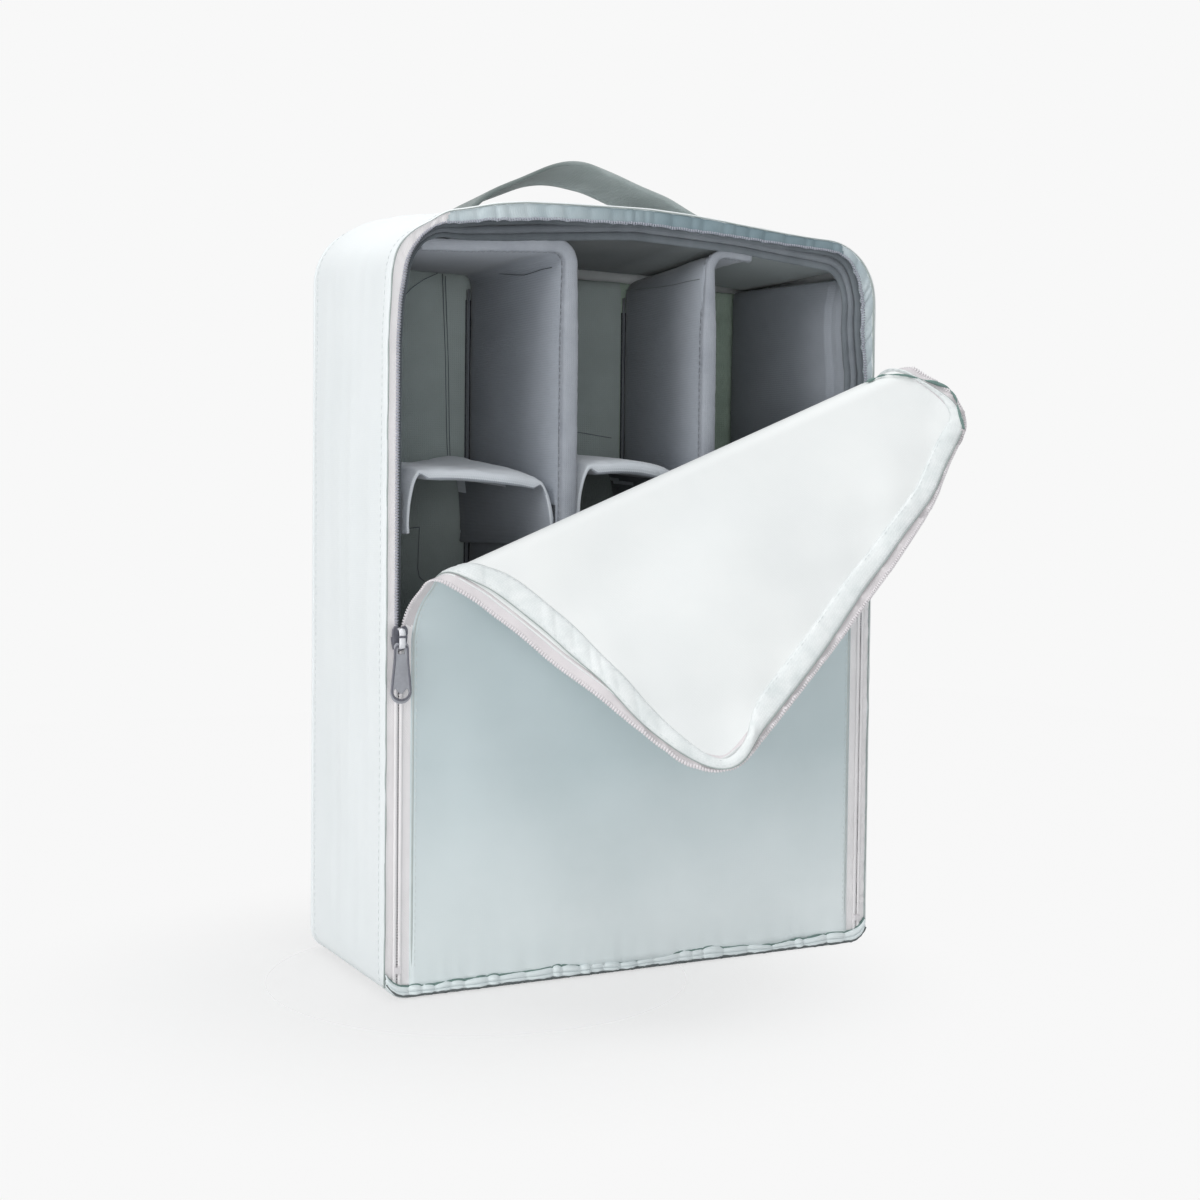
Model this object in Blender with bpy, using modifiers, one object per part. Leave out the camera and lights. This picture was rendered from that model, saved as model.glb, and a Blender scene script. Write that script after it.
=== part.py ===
"""Camera bag insert: a padded, open-fronted case with dividers, shelves, a zipped flap and a handle.

The model stands on its base with the origin at the centre of the base.
The front opening faces -Y, the back panel faces +Y, and +Z is up. All sizes are in metres.
"""
import math

import bmesh
import bpy
import numpy as np
from mathutils import Matrix, Vector

# Case
CASE_WIDTH = 0.280
CASE_HEIGHT = 0.380
CASE_DEPTH = 0.110
TOP_CROWN = 0.005
TOP_CORNER_RADIUS = 0.030
TOP_DROP = 0.0035
BASE_CORNER_RADIUS = 0.012
COVER_WALL = 0.001
FOAM_WALL = 0.009
LINING_WALL = 0.001
SILL_HEIGHT = 0.009
GAP = 0.0003

# Zip
ZIP_RECESS = 0.006
EDGE_MARGIN = 0.0005
TAPE_WALL = 0.0008
CASE_TAPE_WIDTH = 0.0045
FLAP_TAPE_WIDTH = 0.0052
COIL_WIDTH = 0.0010
COIL_THICKNESS = 0.0020
COIL_SPLIT = 0.0012
STOP_HEIGHT = 0.003
STOP_WALL = 0.0008

# Slider and its pull
SLIDER_LENGTH = 0.0115
SLIDER_WIDTH = 0.0086
SLIDER_WALL = 0.0012
SLIDER_LEFT_DROP = 0.2145
SLIDER_RIGHT_DROP = 0.1595
POST_WIDTH = 0.0006
BRIDGE_WIDTH = 0.0030
BRIDGE_REACH = 0.0042
BRIDGE_WALL = 0.0010
PULL_LENGTH = 0.0280
PULL_TOP_WIDTH = 0.0070
PULL_END_WIDTH = 0.0105
PULL_WALL = 0.0012
PULL_EYE_WIDTH = 0.0040
PULL_EYE_LENGTH = 0.0082
PULL_HOLE_WIDTH = 0.0036
PULL_HOLE_LENGTH = 0.0080

# Flap and the cone that it folds round; the crease crosses the two sides at drops below the top
FLAP_WALL = 0.0012
FOLD_APEX_REACH = 0.749
FOLD_LEFT_DROP = 0.2228
FOLD_RIGHT_DROP = 0.1187
LEAN_SPREAD = math.radians(3.01)
LEAN_BEND = math.radians(47.76)
ROLL_SPREAD = math.radians(1.15)
ROLL_BEND = math.radians(98.63)

# Right wall, whose back edge stands in from its front edge, with a foam wedge behind it
RIGHT_WALL_SLANT = 0.021
RIGHT_WEDGE_START_SHARE = 0.1

# Dividers and shelves
DIVIDER_WALL = 0.007
DIVIDER_LEFT_X = -0.0402
DIVIDER_RIGHT_X = 0.0401
DIVIDER_LEFT_SLANT = 0.015
DIVIDER_FOLD_RADIUS = 0.012
DIVIDER_LEFT_TAB_END = 0.004
DIVIDER_RIGHT_TAB = 0.016
DIVIDER_LEFT_TAB_WALL = 0.00525
DIVIDER_RIGHT_TAB_WALL = 0.003
SHELF_WALL = 0.0055
SHELF_TAB_DROP = 0.030
SHELF_TAB_WALL = 0.003
SHELF_FOLD_RADIUS = 0.008
SHELF_SETBACK = 0.001
SHELF_BACK_LIFT = 0.010
SHELF_CROWN = 0.003
SHELF_SIDE_DROP = 0.004
SHELF_LEFT_HEIGHT = 0.250
SHELF_MIDDLE_HEIGHT = 0.2535
HOOK_WALL = 0.0008
HOOK_INSET = 0.006

# Handle
HANDLE_SPAN = 0.148
HANDLE_SHIFT = -0.004
HANDLE_RISE = 0.029
HANDLE_WIDTH = 0.038
HANDLE_WALL = 0.002
HANDLE_END_RISE = 0.012
ANCHOR_LENGTH = 0.022

# How finely round shapes are drawn
ARC_STEPS = 8
TOP_STEPS = 10
ARCH_STEPS = 14
ROLL_STEPS = 26
WELD_SHARE = 0.01
HANDLE_SHAPE_SHARE = 1.6

# Places that follow from the sizes
half_width = CASE_WIDTH / 2
front = -CASE_DEPTH / 2
back = CASE_DEPTH / 2
top_corner_z = CASE_HEIGHT - TOP_CORNER_RADIUS
cover_inset = COVER_WALL + GAP
lining_inset = cover_inset + FOAM_WALL + GAP
wall_stack = lining_inset + LINING_WALL
inner_x = half_width - wall_stack
inner_y = back - wall_stack
floor_z = wall_stack
ceiling_z = CASE_HEIGHT - wall_stack - TOP_DROP
foam_front = front + ZIP_RECESS
foam_back = back - cover_inset - FOAM_WALL
tape_out = EDGE_MARGIN
tape_in = tape_out + CASE_TAPE_WIDTH
coil_out = tape_in + GAP
coil_in = coil_out + COIL_WIDTH
flap_coil_out = coil_in + COIL_SPLIT
flap_coil_in = flap_coil_out + COIL_WIDTH
flap_tape_out = flap_coil_in + GAP
flap_tape_in = flap_tape_out + FLAP_TAPE_WIDTH
flap_edge = flap_tape_in + GAP
zip_inset = (coil_in + flap_coil_out) / 2
zip_x = half_width - zip_inset
zip_y = front - GAP - TAPE_WALL / 2
zip_foot = SILL_HEIGHT + GAP
slider_left_z = CASE_HEIGHT - SLIDER_LEFT_DROP
slider_right_z = CASE_HEIGHT - SLIDER_RIGHT_DROP
coil_front = zip_y - COIL_THICKNESS / 2
coil_back = zip_y + COIL_THICKNESS / 2


def clear_scene():
    """Removes what the file held before."""
    for thing in list(bpy.data.objects):
        bpy.data.objects.remove(thing, do_unlink=True)
    for group in list(bpy.data.collections):
        bpy.data.collections.remove(group)


def new_collection(name):
    group = bpy.data.collections.new(name)
    bpy.context.scene.collection.children.link(group)
    return group


clear_scene()
parts = new_collection("camera_bag_insert")
cutters = new_collection("cutters")


def finish(name, colour, roughness, metallic=0.0):
    """One plain material."""
    material = bpy.data.materials.new(name)
    material.use_nodes = True
    shader = material.node_tree.nodes["Principled BSDF"]
    shader.inputs["Base Color"].default_value = (*colour, 1.0)
    shader.inputs["Roughness"].default_value = roughness
    shader.inputs["Metallic"].default_value = metallic
    return material


MINT_FABRIC = ("mint_fabric", (0.74, 0.80, 0.80), 0.55)
PALE_TAPE = ("pale_tape", (0.78, 0.76, 0.76), 0.70)
PALE_COIL = ("pale_coil", (0.58, 0.60, 0.62), 0.45)
GREY_LINING = ("grey_lining", (0.22, 0.24, 0.26), 0.90)
GREY_FOAM = ("grey_foam", (0.16, 0.17, 0.18), 0.95)
GREY_WEBBING = ("grey_webbing", (0.17, 0.20, 0.20), 0.85)
GREY_METAL = ("grey_metal", (0.30, 0.31, 0.33), 0.35, 0.9)
HOOK_TAPE = ("hook_tape", (0.12, 0.13, 0.14), 0.95)


def give_finish(thing, look):
    thing.data.materials.clear()
    thing.data.materials.append(finish(thing.name + "_" + look[0], *look[1:]))


def add_object(name, data, look, group=None, smooth=False):
    thing = bpy.data.objects.new(name, data)
    (group or parts).objects.link(thing)
    give_finish(thing, look)
    if smooth:
        data.shade_smooth()
    return thing


def flat_curve(name, outlines, thickness):
    """A filled 2D curve in its own XY plane; the first outline is the edge, the others are holes."""
    curve = bpy.data.curves.new(name, "CURVE")
    curve.dimensions = "2D"
    curve.fill_mode = "BOTH"
    curve.extrude = thickness / 2
    for outline in outlines:
        spline = curve.splines.new("POLY")
        spline.points.add(len(outline) - 1)
        for point, (x, y) in zip(spline.points, outline):
            point.co = (x, y, 0, 1)
        spline.use_cyclic_u = True
    return curve


def stand_up(thing, y_low, y_high):
    """Turns a flat curve so that its outline lies in XZ, between two planes across Y."""
    thing.rotation_euler = (math.radians(90), 0, 0)
    thing.location = (0, (y_low + y_high) / 2, 0)


def add_plate(name, outline, y_low, y_high, look):
    """A plate whose outline lies in XZ."""
    plate = add_object(name, flat_curve(name, [outline], y_high - y_low), look)
    stand_up(plate, y_low, y_high)
    return plate


def add_plate_mesh(name, outline, y_low, y_high, look, move):
    """A plate made a mesh, whose points are then moved by a formula."""
    plate = add_plate(name, outline, y_low, y_high, look)
    bpy.context.view_layer.update()
    evaluated = plate.evaluated_get(bpy.context.evaluated_depsgraph_get())
    mesh = bpy.data.meshes.new_from_object(evaluated)
    mesh.transform(plate.matrix_world)
    curve = plate.data
    bpy.data.objects.remove(plate)
    bpy.data.curves.remove(curve)
    shape = bmesh.new()
    shape.from_mesh(mesh)
    bmesh.ops.remove_doubles(shape, verts=shape.verts, dist=GAP * WELD_SHARE)
    for vertex in shape.verts:
        vertex.co = move(vertex.co)
    shape.to_mesh(mesh)
    shape.free()
    return add_object(name, mesh, look)


def add_box(name, low, high, look, group=None, bevel=0.0):
    """A box between two corners, with its origin at its centre."""
    size = Vector(high) - Vector(low)
    shape = bmesh.new()
    bmesh.ops.create_cube(shape, size=1.0)
    for vertex in shape.verts:
        vertex.co = Vector(a * b for a, b in zip(vertex.co, size))
    mesh = bpy.data.meshes.new(name)
    shape.to_mesh(mesh)
    shape.free()
    box = add_object(name, mesh, look, group)
    box.location = (Vector(low) + Vector(high)) / 2
    if bevel:
        rounding = box.modifiers.new("rounding", "BEVEL")
        rounding.width = bevel
        rounding.segments = 2
    return box


def add_block(name, low, high, cuts, look, move):
    """A box cut across its length, whose points are then moved by a formula."""
    size = Vector(high) - Vector(low)
    centre = (Vector(high) + Vector(low)) / 2
    shape = bmesh.new()
    bmesh.ops.create_cube(shape, size=1.0)
    lengthwise = [edge for edge in shape.edges if edge.verts[0].co.x != edge.verts[1].co.x]
    bmesh.ops.subdivide_edges(shape, edges=lengthwise, cuts=cuts, use_grid_fill=True)
    for vertex in shape.verts:
        vertex.co = move(centre + Vector(a * b for a, b in zip(vertex.co, size)))
    mesh = bpy.data.meshes.new(name)
    shape.to_mesh(mesh)
    shape.free()
    return add_object(name, mesh, look)


def join_shapes(target, tools):
    """Joins the tools to the target, which becomes one body."""
    for tool in tools:
        tool.hide_render = True
        tool.display_type = "WIRE"
        union = target.modifiers.new("union_" + tool.name, "BOOLEAN")
        union.operation = "UNION"
        union.solver = "EXACT"
        union.object = tool


def carry(thing, pivot):
    """Parents a piece to the empty on its joint, and leaves it where it is."""
    bpy.context.view_layer.update()
    thing.parent = pivot
    thing.matrix_parent_inverse = pivot.matrix_world.inverted()


def add_pivot(name, place):
    pivot = bpy.data.objects.new(name, None)
    parts.objects.link(pivot)
    pivot.location = place
    bpy.context.view_layer.update()
    return pivot


# Outlines of the case, seen from the front
def crowned(x, z):
    """Lifts the top of an outline, most at the middle."""
    share = max(0.0, (z - top_corner_z) / TOP_CORNER_RADIUS)
    return z + TOP_CROWN * share * (1 - (x / half_width) ** 2)


def arc(centre_x, centre_z, radius, start, stop):
    angles = np.linspace(math.radians(start), math.radians(stop), ARC_STEPS + 1)
    return [(centre_x + radius * math.cos(a), centre_z + radius * math.sin(a)) for a in angles]


def over_the_top(inset, drop=0):
    """The outline from the left side over both top corners to the right side, lowered by a drop."""
    radius = TOP_CORNER_RADIUS - inset
    across = half_width - TOP_CORNER_RADIUS
    centre_z = top_corner_z - drop
    middle = [(x, centre_z + radius) for x in np.linspace(-across, across, TOP_STEPS + 1)[1:-1]]
    line = arc(-across, centre_z, radius, 180, 90) + middle
    line += arc(across, centre_z, radius, 90, 0)
    return [(x, crowned(x, z)) for x, z in line]


def round_the_case(inset):
    """The outline from the left end of the base over the top to the right end of the base."""
    radius = BASE_CORNER_RADIUS - inset
    across = half_width - BASE_CORNER_RADIUS
    left = arc(-across, BASE_CORNER_RADIUS, radius, -90, -180)
    right = arc(across, BASE_CORNER_RADIUS, radius, 0, -90)
    return left + over_the_top(inset) + right


def side_x(z, inset):
    """How far the side of the outline lies from the middle at one height."""
    if z < BASE_CORNER_RADIUS:
        corner, rise = BASE_CORNER_RADIUS, BASE_CORNER_RADIUS - z
    elif z > top_corner_z:
        corner, rise = TOP_CORNER_RADIUS, z - top_corner_z
    else:
        return half_width - inset
    return half_width - corner + math.sqrt(max(0.0, (corner - inset) ** 2 - rise ** 2))


def mouth_band(outer_inset, inner_inset, low_outer, low_inner, outer_drop=TOP_DROP):
    """A band round the mouth between two insets; functions give the heights of its feet."""
    outer_x = half_width - outer_inset
    band_inner_x = half_width - inner_inset
    outer = [(-outer_x, low_outer(-outer_x))] + over_the_top(outer_inset, outer_drop)
    outer += [(outer_x, low_outer(outer_x))]
    inner = [(-band_inner_x, low_inner(-band_inner_x))] + over_the_top(inner_inset, TOP_DROP)
    inner += [(band_inner_x, low_inner(band_inner_x))]
    return outer + inner[::-1]


def level_foot(x):
    return zip_foot


# Outer cover
def make_cover():
    cover_back_face = back - COVER_WALL
    gusset = round_the_case(0) + round_the_case(COVER_WALL)[::-1]
    add_plate("cover_gusset", gusset, front, cover_back_face - GAP, MINT_FABRIC)
    add_plate("cover_back", round_the_case(0), cover_back_face, back, MINT_FABRIC)
    base_half = half_width - BASE_CORNER_RADIUS - GAP
    base_back = cover_back_face - GAP
    add_box("cover_base", (-base_half, front, 0), (base_half, base_back, COVER_WALL), MINT_FABRIC)
    sill_back = front - GAP
    sill = [(-base_half, COVER_WALL), (base_half, COVER_WALL)]
    sill += [(base_half, SILL_HEIGHT), (-base_half, SILL_HEIGHT)]
    add_plate("front_sill", sill, sill_back - FLAP_WALL, sill_back, MINT_FABRIC)


# Foam boards and the lining over them
def make_padding():
    foam_inner_x = inner_x + LINING_WALL + GAP
    foam_low = cover_inset + FOAM_WALL + GAP
    foam_high = ceiling_z + LINING_WALL
    side_back = foam_back - GAP
    side_heights = np.linspace(foam_low, foam_high, ARC_STEPS * 2)
    for name, side in (("foam_left", -1), ("foam_right", 1)):
        outer = [(side * side_x(z, cover_inset), z) for z in side_heights]
        inner = [(side * foam_inner_x, foam_high), (side * foam_inner_x, foam_low)]
        add_plate(name, outer + inner, foam_front, side_back, GREY_FOAM)
    top_low = foam_high + GAP
    crest = [(x, z) for x, z in over_the_top(cover_inset) if z > top_low + GAP]
    corner_x = side_x(top_low, cover_inset)
    foam_top = [(-corner_x, top_low)] + crest + [(corner_x, top_low)]
    add_plate("foam_top", foam_top, foam_front, side_back, GREY_FOAM)
    heights = np.linspace(cover_inset, cover_inset + FOAM_WALL, ARC_STEPS)
    left = [(-side_x(z, cover_inset), z) for z in heights]
    right = [(side_x(z, cover_inset), z) for z in heights[::-1]]
    add_plate("foam_base", left + right, foam_front, side_back, GREY_FOAM)
    add_plate("foam_back", round_the_case(cover_inset), foam_back, foam_back + FOAM_WALL, GREY_FOAM)

    lining_back_y = inner_y - GAP
    low_z = floor_z + GAP
    high_z = ceiling_z - GAP
    outer_x = inner_x + LINING_WALL
    left_high = (-inner_x, lining_back_y, high_z)
    add_box("lining_left", (-outer_x, foam_front, low_z), left_high, GREY_LINING)
    wall_depth = lining_back_y - foam_front
    right_high = (outer_x, lining_back_y, high_z)

    def slant(point):
        return RIGHT_WALL_SLANT * (point.y - foam_front) / wall_depth

    def slanted(point):
        return Vector((point.x - slant(point), point.y, point.z))

    def wedge(point):
        reach = (outer_x - point.x) / LINING_WALL
        return Vector((outer_x - reach * (slant(point) - GAP), point.y, point.z))

    add_block("lining_right", (inner_x, foam_front, low_z), right_high, 1, GREY_LINING, slanted)
    wedge_low = (inner_x, foam_front + wall_depth * RIGHT_WEDGE_START_SHARE, low_z)
    add_block("foam_wedge", wedge_low, right_high, 1, GREY_FOAM, wedge)
    top_high = (inner_x, lining_back_y, ceiling_z + LINING_WALL)
    add_box("lining_top", (-inner_x, foam_front, ceiling_z), top_high, GREY_LINING)
    base_low = (-inner_x, foam_front, floor_z - LINING_WALL)
    add_box("lining_base", base_low, (inner_x, lining_back_y, floor_z), GREY_LINING)
    back_high = (inner_x, inner_y + LINING_WALL, ceiling_z)
    add_box("lining_back", (-inner_x, inner_y, floor_z), back_high, GREY_LINING)
    binding_back = foam_front - GAP
    binding = mouth_band(flap_coil_out, wall_stack, lambda x: floor_z, lambda x: floor_z)
    add_plate("lining_binding", binding, binding_back - LINING_WALL, binding_back, GREY_LINING)


# The fold of the flap, which runs round a cone whose tip lies left of the case and below it
fold_slope = (FOLD_LEFT_DROP - FOLD_RIGHT_DROP) / CASE_WIDTH
fold_start = math.atan(fold_slope)
fold_left_z = CASE_HEIGHT - FOLD_LEFT_DROP
fold_apex = Vector((-FOLD_APEX_REACH, zip_y, fold_left_z - fold_slope * (FOLD_APEX_REACH - half_width)))
roll_start = fold_start + LEAN_SPREAD
fold_end = roll_start + ROLL_SPREAD


def flat_frame(angle):
    """Ruling, direction across the rulings and normal of the flat flap, at one angle round the apex."""
    ruling = Vector((math.cos(angle), 0, math.sin(angle)))
    across = Vector((-math.sin(angle), 0, math.cos(angle)))
    return [ruling, across, Vector((0, -1, 0))]


def bent_frame(frame, bend, spread, angle):
    """The frame after it has gone some angle round a cone that bends the sheet by bend over spread."""
    ruling, across, normal = frame
    turn = normal + ruling * (bend / spread)
    rotation = Matrix.Rotation(turn.length * angle, 3, turn)
    return [rotation @ direction for direction in frame]


lean_frame = bent_frame(flat_frame(fold_start), LEAN_BEND, LEAN_SPREAD, LEAN_SPREAD)
folded_frame = bent_frame(lean_frame, ROLL_BEND, ROLL_SPREAD, ROLL_SPREAD)


def fold_frame(angle):
    if angle <= fold_start:
        return flat_frame(angle)
    if angle <= roll_start:
        return bent_frame(flat_frame(fold_start), LEAN_BEND, LEAN_SPREAD, angle - fold_start)
    return bent_frame(lean_frame, ROLL_BEND, ROLL_SPREAD, angle - roll_start)


fold_turn = (Matrix(folded_frame).transposed() @ Matrix(flat_frame(fold_end))).to_quaternion()
fold_axis, fold_angle = fold_turn.to_axis_angle()
fold_point = fold_apex + fold_axis * (FOLD_APEX_REACH / fold_axis.x)


def fold_line(angle):
    """The height of a ruling of the flat flap at one place across the case."""
    slope = math.tan(angle)
    return lambda x: fold_apex.z + (x - fold_apex.x) * slope


def fold_clear(x, side):
    """The angle that keeps the gap between the roll and the flat parts of the flap."""
    return side * GAP / (x - fold_apex.x)


def add_rolled_strip(name, low_x, high_x, start, stop, thickness, look):
    """A strip of the flap that lies on the cone, between two places across the case."""
    shape = bmesh.new()
    bmesh.ops.create_grid(shape, x_segments=3, y_segments=ROLL_STEPS, size=0.5)
    for vertex in shape.verts:
        angle = start + (stop - start) * (vertex.co.y + 0.5)
        x = low_x + (high_x - low_x) * (vertex.co.x + 0.5)
        vertex.co = fold_apex + fold_frame(angle)[0] * ((x - fold_apex.x) / math.cos(angle))
    mesh = bpy.data.meshes.new(name)
    shape.to_mesh(mesh)
    shape.free()
    strip = add_object(name, mesh, look, smooth=True)
    wall = strip.modifiers.new("wall", "SOLIDIFY")
    wall.thickness = thickness
    wall.offset = 0
    return strip


# Zip tapes and coils of the case, and of the flap where it lies flat
def make_zip():
    def tape(name, points, look=PALE_TAPE):
        return add_plate(name, points, zip_y - TAPE_WALL / 2, zip_y + TAPE_WALL / 2, look)

    def coil(name, points):
        return add_plate(name, points, coil_front, coil_back, PALE_COIL)

    tape("case_tape", mouth_band(tape_out, tape_in, level_foot, level_foot, 0))
    coil("case_coil", mouth_band(coil_out, coil_in, level_foot, level_foot))
    crease = fold_line(fold_start)
    left_top = slider_left_z + SLIDER_LENGTH / 2

    def strip(outer, inner, side, top):
        far, near = side * (half_width - outer), side * (half_width - inner)
        return [(far, zip_foot), (near, zip_foot), (near, top(near)), (far, top(far))]

    tape("flap_tape_left", strip(flap_tape_out, flap_tape_in, -1, lambda x: left_top))
    coil("flap_coil_left", strip(flap_coil_out, flap_coil_in, -1, lambda x: left_top))
    tape("flap_tape_right", strip(flap_tape_out, flap_tape_in, 1, crease))
    coil("flap_coil_right", strip(flap_coil_out, flap_coil_in, 1, crease))
    stop_low = zip_foot + STOP_HEIGHT
    stop_half = COIL_SPLIT / 2 + COIL_WIDTH
    for name, side in (("zip_stop_left", -1), ("zip_stop_right", 1)):
        low = (side * zip_x - stop_half, coil_front - GAP - STOP_WALL, stop_low)
        high = (side * zip_x + stop_half, coil_front - GAP, stop_low + STOP_HEIGHT)
        add_box(name, low, high, GREY_METAL)


# Flap: flat lower panel, rolled fold, and the upper panel that hangs in front
def make_flap():
    edge = half_width - flap_edge
    crease = fold_line(fold_start)
    lower = [(-edge, zip_foot), (edge, zip_foot), (edge, crease(edge)), (-edge, crease(-edge))]
    add_plate("flap_lower", lower, zip_y - FLAP_WALL / 2, zip_y + FLAP_WALL / 2, MINT_FABRIC)

    start = fold_start + fold_clear(-edge, 1)
    stop = fold_end + fold_clear(-edge, -1)
    add_rolled_strip("flap_crease", -edge, edge, start, stop, FLAP_WALL, MINT_FABRIC)
    tape_low = half_width - flap_tape_in
    tape_high = half_width - flap_coil_out
    over_slider = slider_left_z + SLIDER_LENGTH + BRIDGE_WALL - fold_apex.z
    left_start = math.atan2(over_slider, -tape_high - fold_apex.x)
    add_rolled_strip("flap_edge_left", -tape_high, -tape_low, left_start, stop, TAPE_WALL, PALE_TAPE)
    add_rolled_strip("flap_edge_right", tape_low, tape_high, start, stop, TAPE_WALL, PALE_TAPE)

    hinge = add_pivot("flap_hinge", fold_point)
    high_line = fold_line(fold_end)
    top_edge = over_the_top(flap_edge, TOP_DROP)
    upper = [(-edge, high_line(-edge))] + top_edge + [(edge, high_line(edge))]
    tape = mouth_band(flap_tape_out, flap_tape_in, high_line, high_line)
    coil = mouth_band(flap_coil_out, flap_coil_in, high_line, high_line)
    pieces = [
        add_plate("flap_upper", upper, zip_y - FLAP_WALL / 2, zip_y + FLAP_WALL / 2, MINT_FABRIC),
        add_plate("flap_tape_upper", tape, zip_y - TAPE_WALL / 2, zip_y + TAPE_WALL / 2, PALE_TAPE),
        add_plate("flap_coil_upper", coil, coil_front, coil_back, PALE_COIL),
    ]
    for piece in pieces:
        carry(piece, hinge)
    hinge.rotation_mode = "QUATERNION"
    hinge.rotation_quaternion = fold_turn


# Sliders that open and close the zip, with their pulls
def make_slider(name, pull_name, x, low_z):
    plate_back = coil_front - GAP
    plate_front = plate_back - SLIDER_WALL
    half = SLIDER_WIDTH / 2
    high_z = low_z + SLIDER_LENGTH
    pivot = add_pivot(name + "_runner", (x, zip_y, low_z))
    plate_high = (x + half, plate_back, high_z)
    body = add_box(name, (x - half, plate_front, low_z), plate_high, GREY_METAL)
    rear = coil_back + GAP
    rear_high = (x + half, rear + SLIDER_WALL, high_z)
    rear_plate = add_box(name + "_rear", (x - half, rear, low_z), rear_high, GREY_METAL, cutters)
    post_low = (x - POST_WIDTH / 2, plate_back - SLIDER_WALL / 2, low_z + SLIDER_LENGTH / 2)
    post_high = (x + POST_WIDTH / 2, rear + SLIDER_WALL / 2, high_z - SLIDER_WALL)
    post = add_box(name + "_post", post_low, post_high, GREY_METAL, cutters)
    bridge_low = low_z + BRIDGE_WALL
    bridge_high = high_z - BRIDGE_WALL
    root = plate_front + SLIDER_WALL / 2
    outer = plate_front - BRIDGE_REACH
    inner = outer + BRIDGE_WALL
    half_bridge = BRIDGE_WIDTH / 2
    bars = []
    spans = (
        ("_bridge_low", root, outer, bridge_low, bridge_low + BRIDGE_WALL),
        ("_bridge_high", root, outer, bridge_high - BRIDGE_WALL, bridge_high),
        ("_bridge_bar", inner, outer, bridge_low + BRIDGE_WALL / 2, bridge_high - BRIDGE_WALL / 2),
    )
    for ending, near, far, low, high in spans:
        corners = (x - half_bridge, far, low), (x + half_bridge, near, high)
        bars.append(add_box(name + ending, *corners, GREY_METAL, cutters))
    join_shapes(body, [post, rear_plate] + bars)
    for piece in [body, post, rear_plate] + bars:
        carry(piece, pivot)

    bar_height = PULL_WALL
    pull_y = plate_front - (BRIDGE_REACH - BRIDGE_WALL) / 2
    pull_z = bridge_low + BRIDGE_WALL + bar_height
    half_top = PULL_TOP_WIDTH / 2
    half_end = PULL_END_WIDTH / 2
    half_eye = PULL_EYE_WIDTH / 2
    half_hole = PULL_HOLE_WIDTH / 2
    shoulder = PULL_EYE_LENGTH + bar_height
    end_centre = half_end - PULL_LENGTH
    rim = arc(0, end_centre, half_end, 0, -180)
    edge = [(-half_end, end_centre), (-half_top, -shoulder), (-half_top, bar_height / 2)]
    edge += [(half_top, bar_height / 2), (half_top, -shoulder)]
    eye = [(-half_eye, -bar_height / 2), (half_eye, -bar_height / 2)]
    eye += [(half_eye, -shoulder), (-half_eye, -shoulder)]
    hole_top = end_centre + PULL_HOLE_LENGTH - half_hole * 2
    hole = arc(0, hole_top, half_hole, 0, 180) + arc(0, end_centre, half_hole, 180, 360)
    outlines = [rim[:-1] + edge, eye, hole]
    pull = add_object(pull_name, flat_curve(pull_name, outlines, PULL_WALL), GREY_METAL)
    pull.rotation_euler = (math.radians(90), 0, 0)
    pull.location = (x, pull_y, pull_z)
    return pull


def make_sliders():
    make_slider("slider_left", "pull_left", -zip_x, slider_left_z)
    make_slider("slider_right", "pull_right", zip_x, slider_right_z)


# Dividers between the columns, each with a tab folded over under the ceiling
divider_front = foam_front + GAP
divider_back = inner_y - GAP - HOOK_WALL - GAP
divider_depth = divider_back - divider_front


def depth_share(y):
    return (y - divider_front) / divider_depth


def left_divider_x(y):
    """The middle of the left divider, which stands askew."""
    return DIVIDER_LEFT_X - DIVIDER_LEFT_SLANT * depth_share(y)


def folded_profile(face_x, side, tab_end, tab_wall):
    """A divider's profile: a wall whose top bends over to one side; face_x is the wall's outer face."""
    low = floor_z + GAP
    high = ceiling_z - GAP
    bend = DIVIDER_FOLD_RADIUS
    inner_bend = bend - tab_wall
    wall_x = face_x + side * DIVIDER_WALL
    centre_x = face_x + side * bend
    turn = (180, 90) if side > 0 else (0, 90)
    outer = [(face_x, low)] + arc(centre_x, high - bend, bend, *turn)
    outer += [(tab_end, high), (tab_end, high - tab_wall)]
    corner_x = wall_x + side * inner_bend
    inner = arc(corner_x, high - bend, inner_bend, *turn)[::-1] + [(wall_x, low)]
    return outer + inner


def make_dividers():
    def askew(point):
        reach = (point.x + inner_x) / (DIVIDER_LEFT_X + inner_x)
        return Vector((point.x - DIVIDER_LEFT_SLANT * depth_share(point.y) * reach, point.y, point.z))

    half_wall = DIVIDER_WALL / 2
    tab_end = -inner_x + DIVIDER_LEFT_TAB_END
    profile = folded_profile(DIVIDER_LEFT_X + half_wall, -1, tab_end, DIVIDER_LEFT_TAB_WALL)
    add_plate_mesh("divider_left", profile, divider_front, divider_back, GREY_LINING, askew)
    tab_end = DIVIDER_RIGHT_X - half_wall + DIVIDER_RIGHT_TAB + DIVIDER_FOLD_RADIUS
    profile = folded_profile(DIVIDER_RIGHT_X - half_wall, 1, tab_end, DIVIDER_RIGHT_TAB_WALL)
    add_plate("divider_right", profile, divider_front, divider_back, GREY_LINING)
    hook_back = inner_y - GAP
    low_z = floor_z + HOOK_INSET
    high_z = ceiling_z - HOOK_INSET - DIVIDER_FOLD_RADIUS
    places = (("hook_strip_left", left_divider_x(divider_back)), ("hook_strip_right", DIVIDER_RIGHT_X))
    for name, x in places:
        corners = (x - half_wall, hook_back - HOOK_WALL, low_z), (x + half_wall, hook_back, high_z)
        add_box(name, *corners, HOOK_TAPE)


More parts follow.
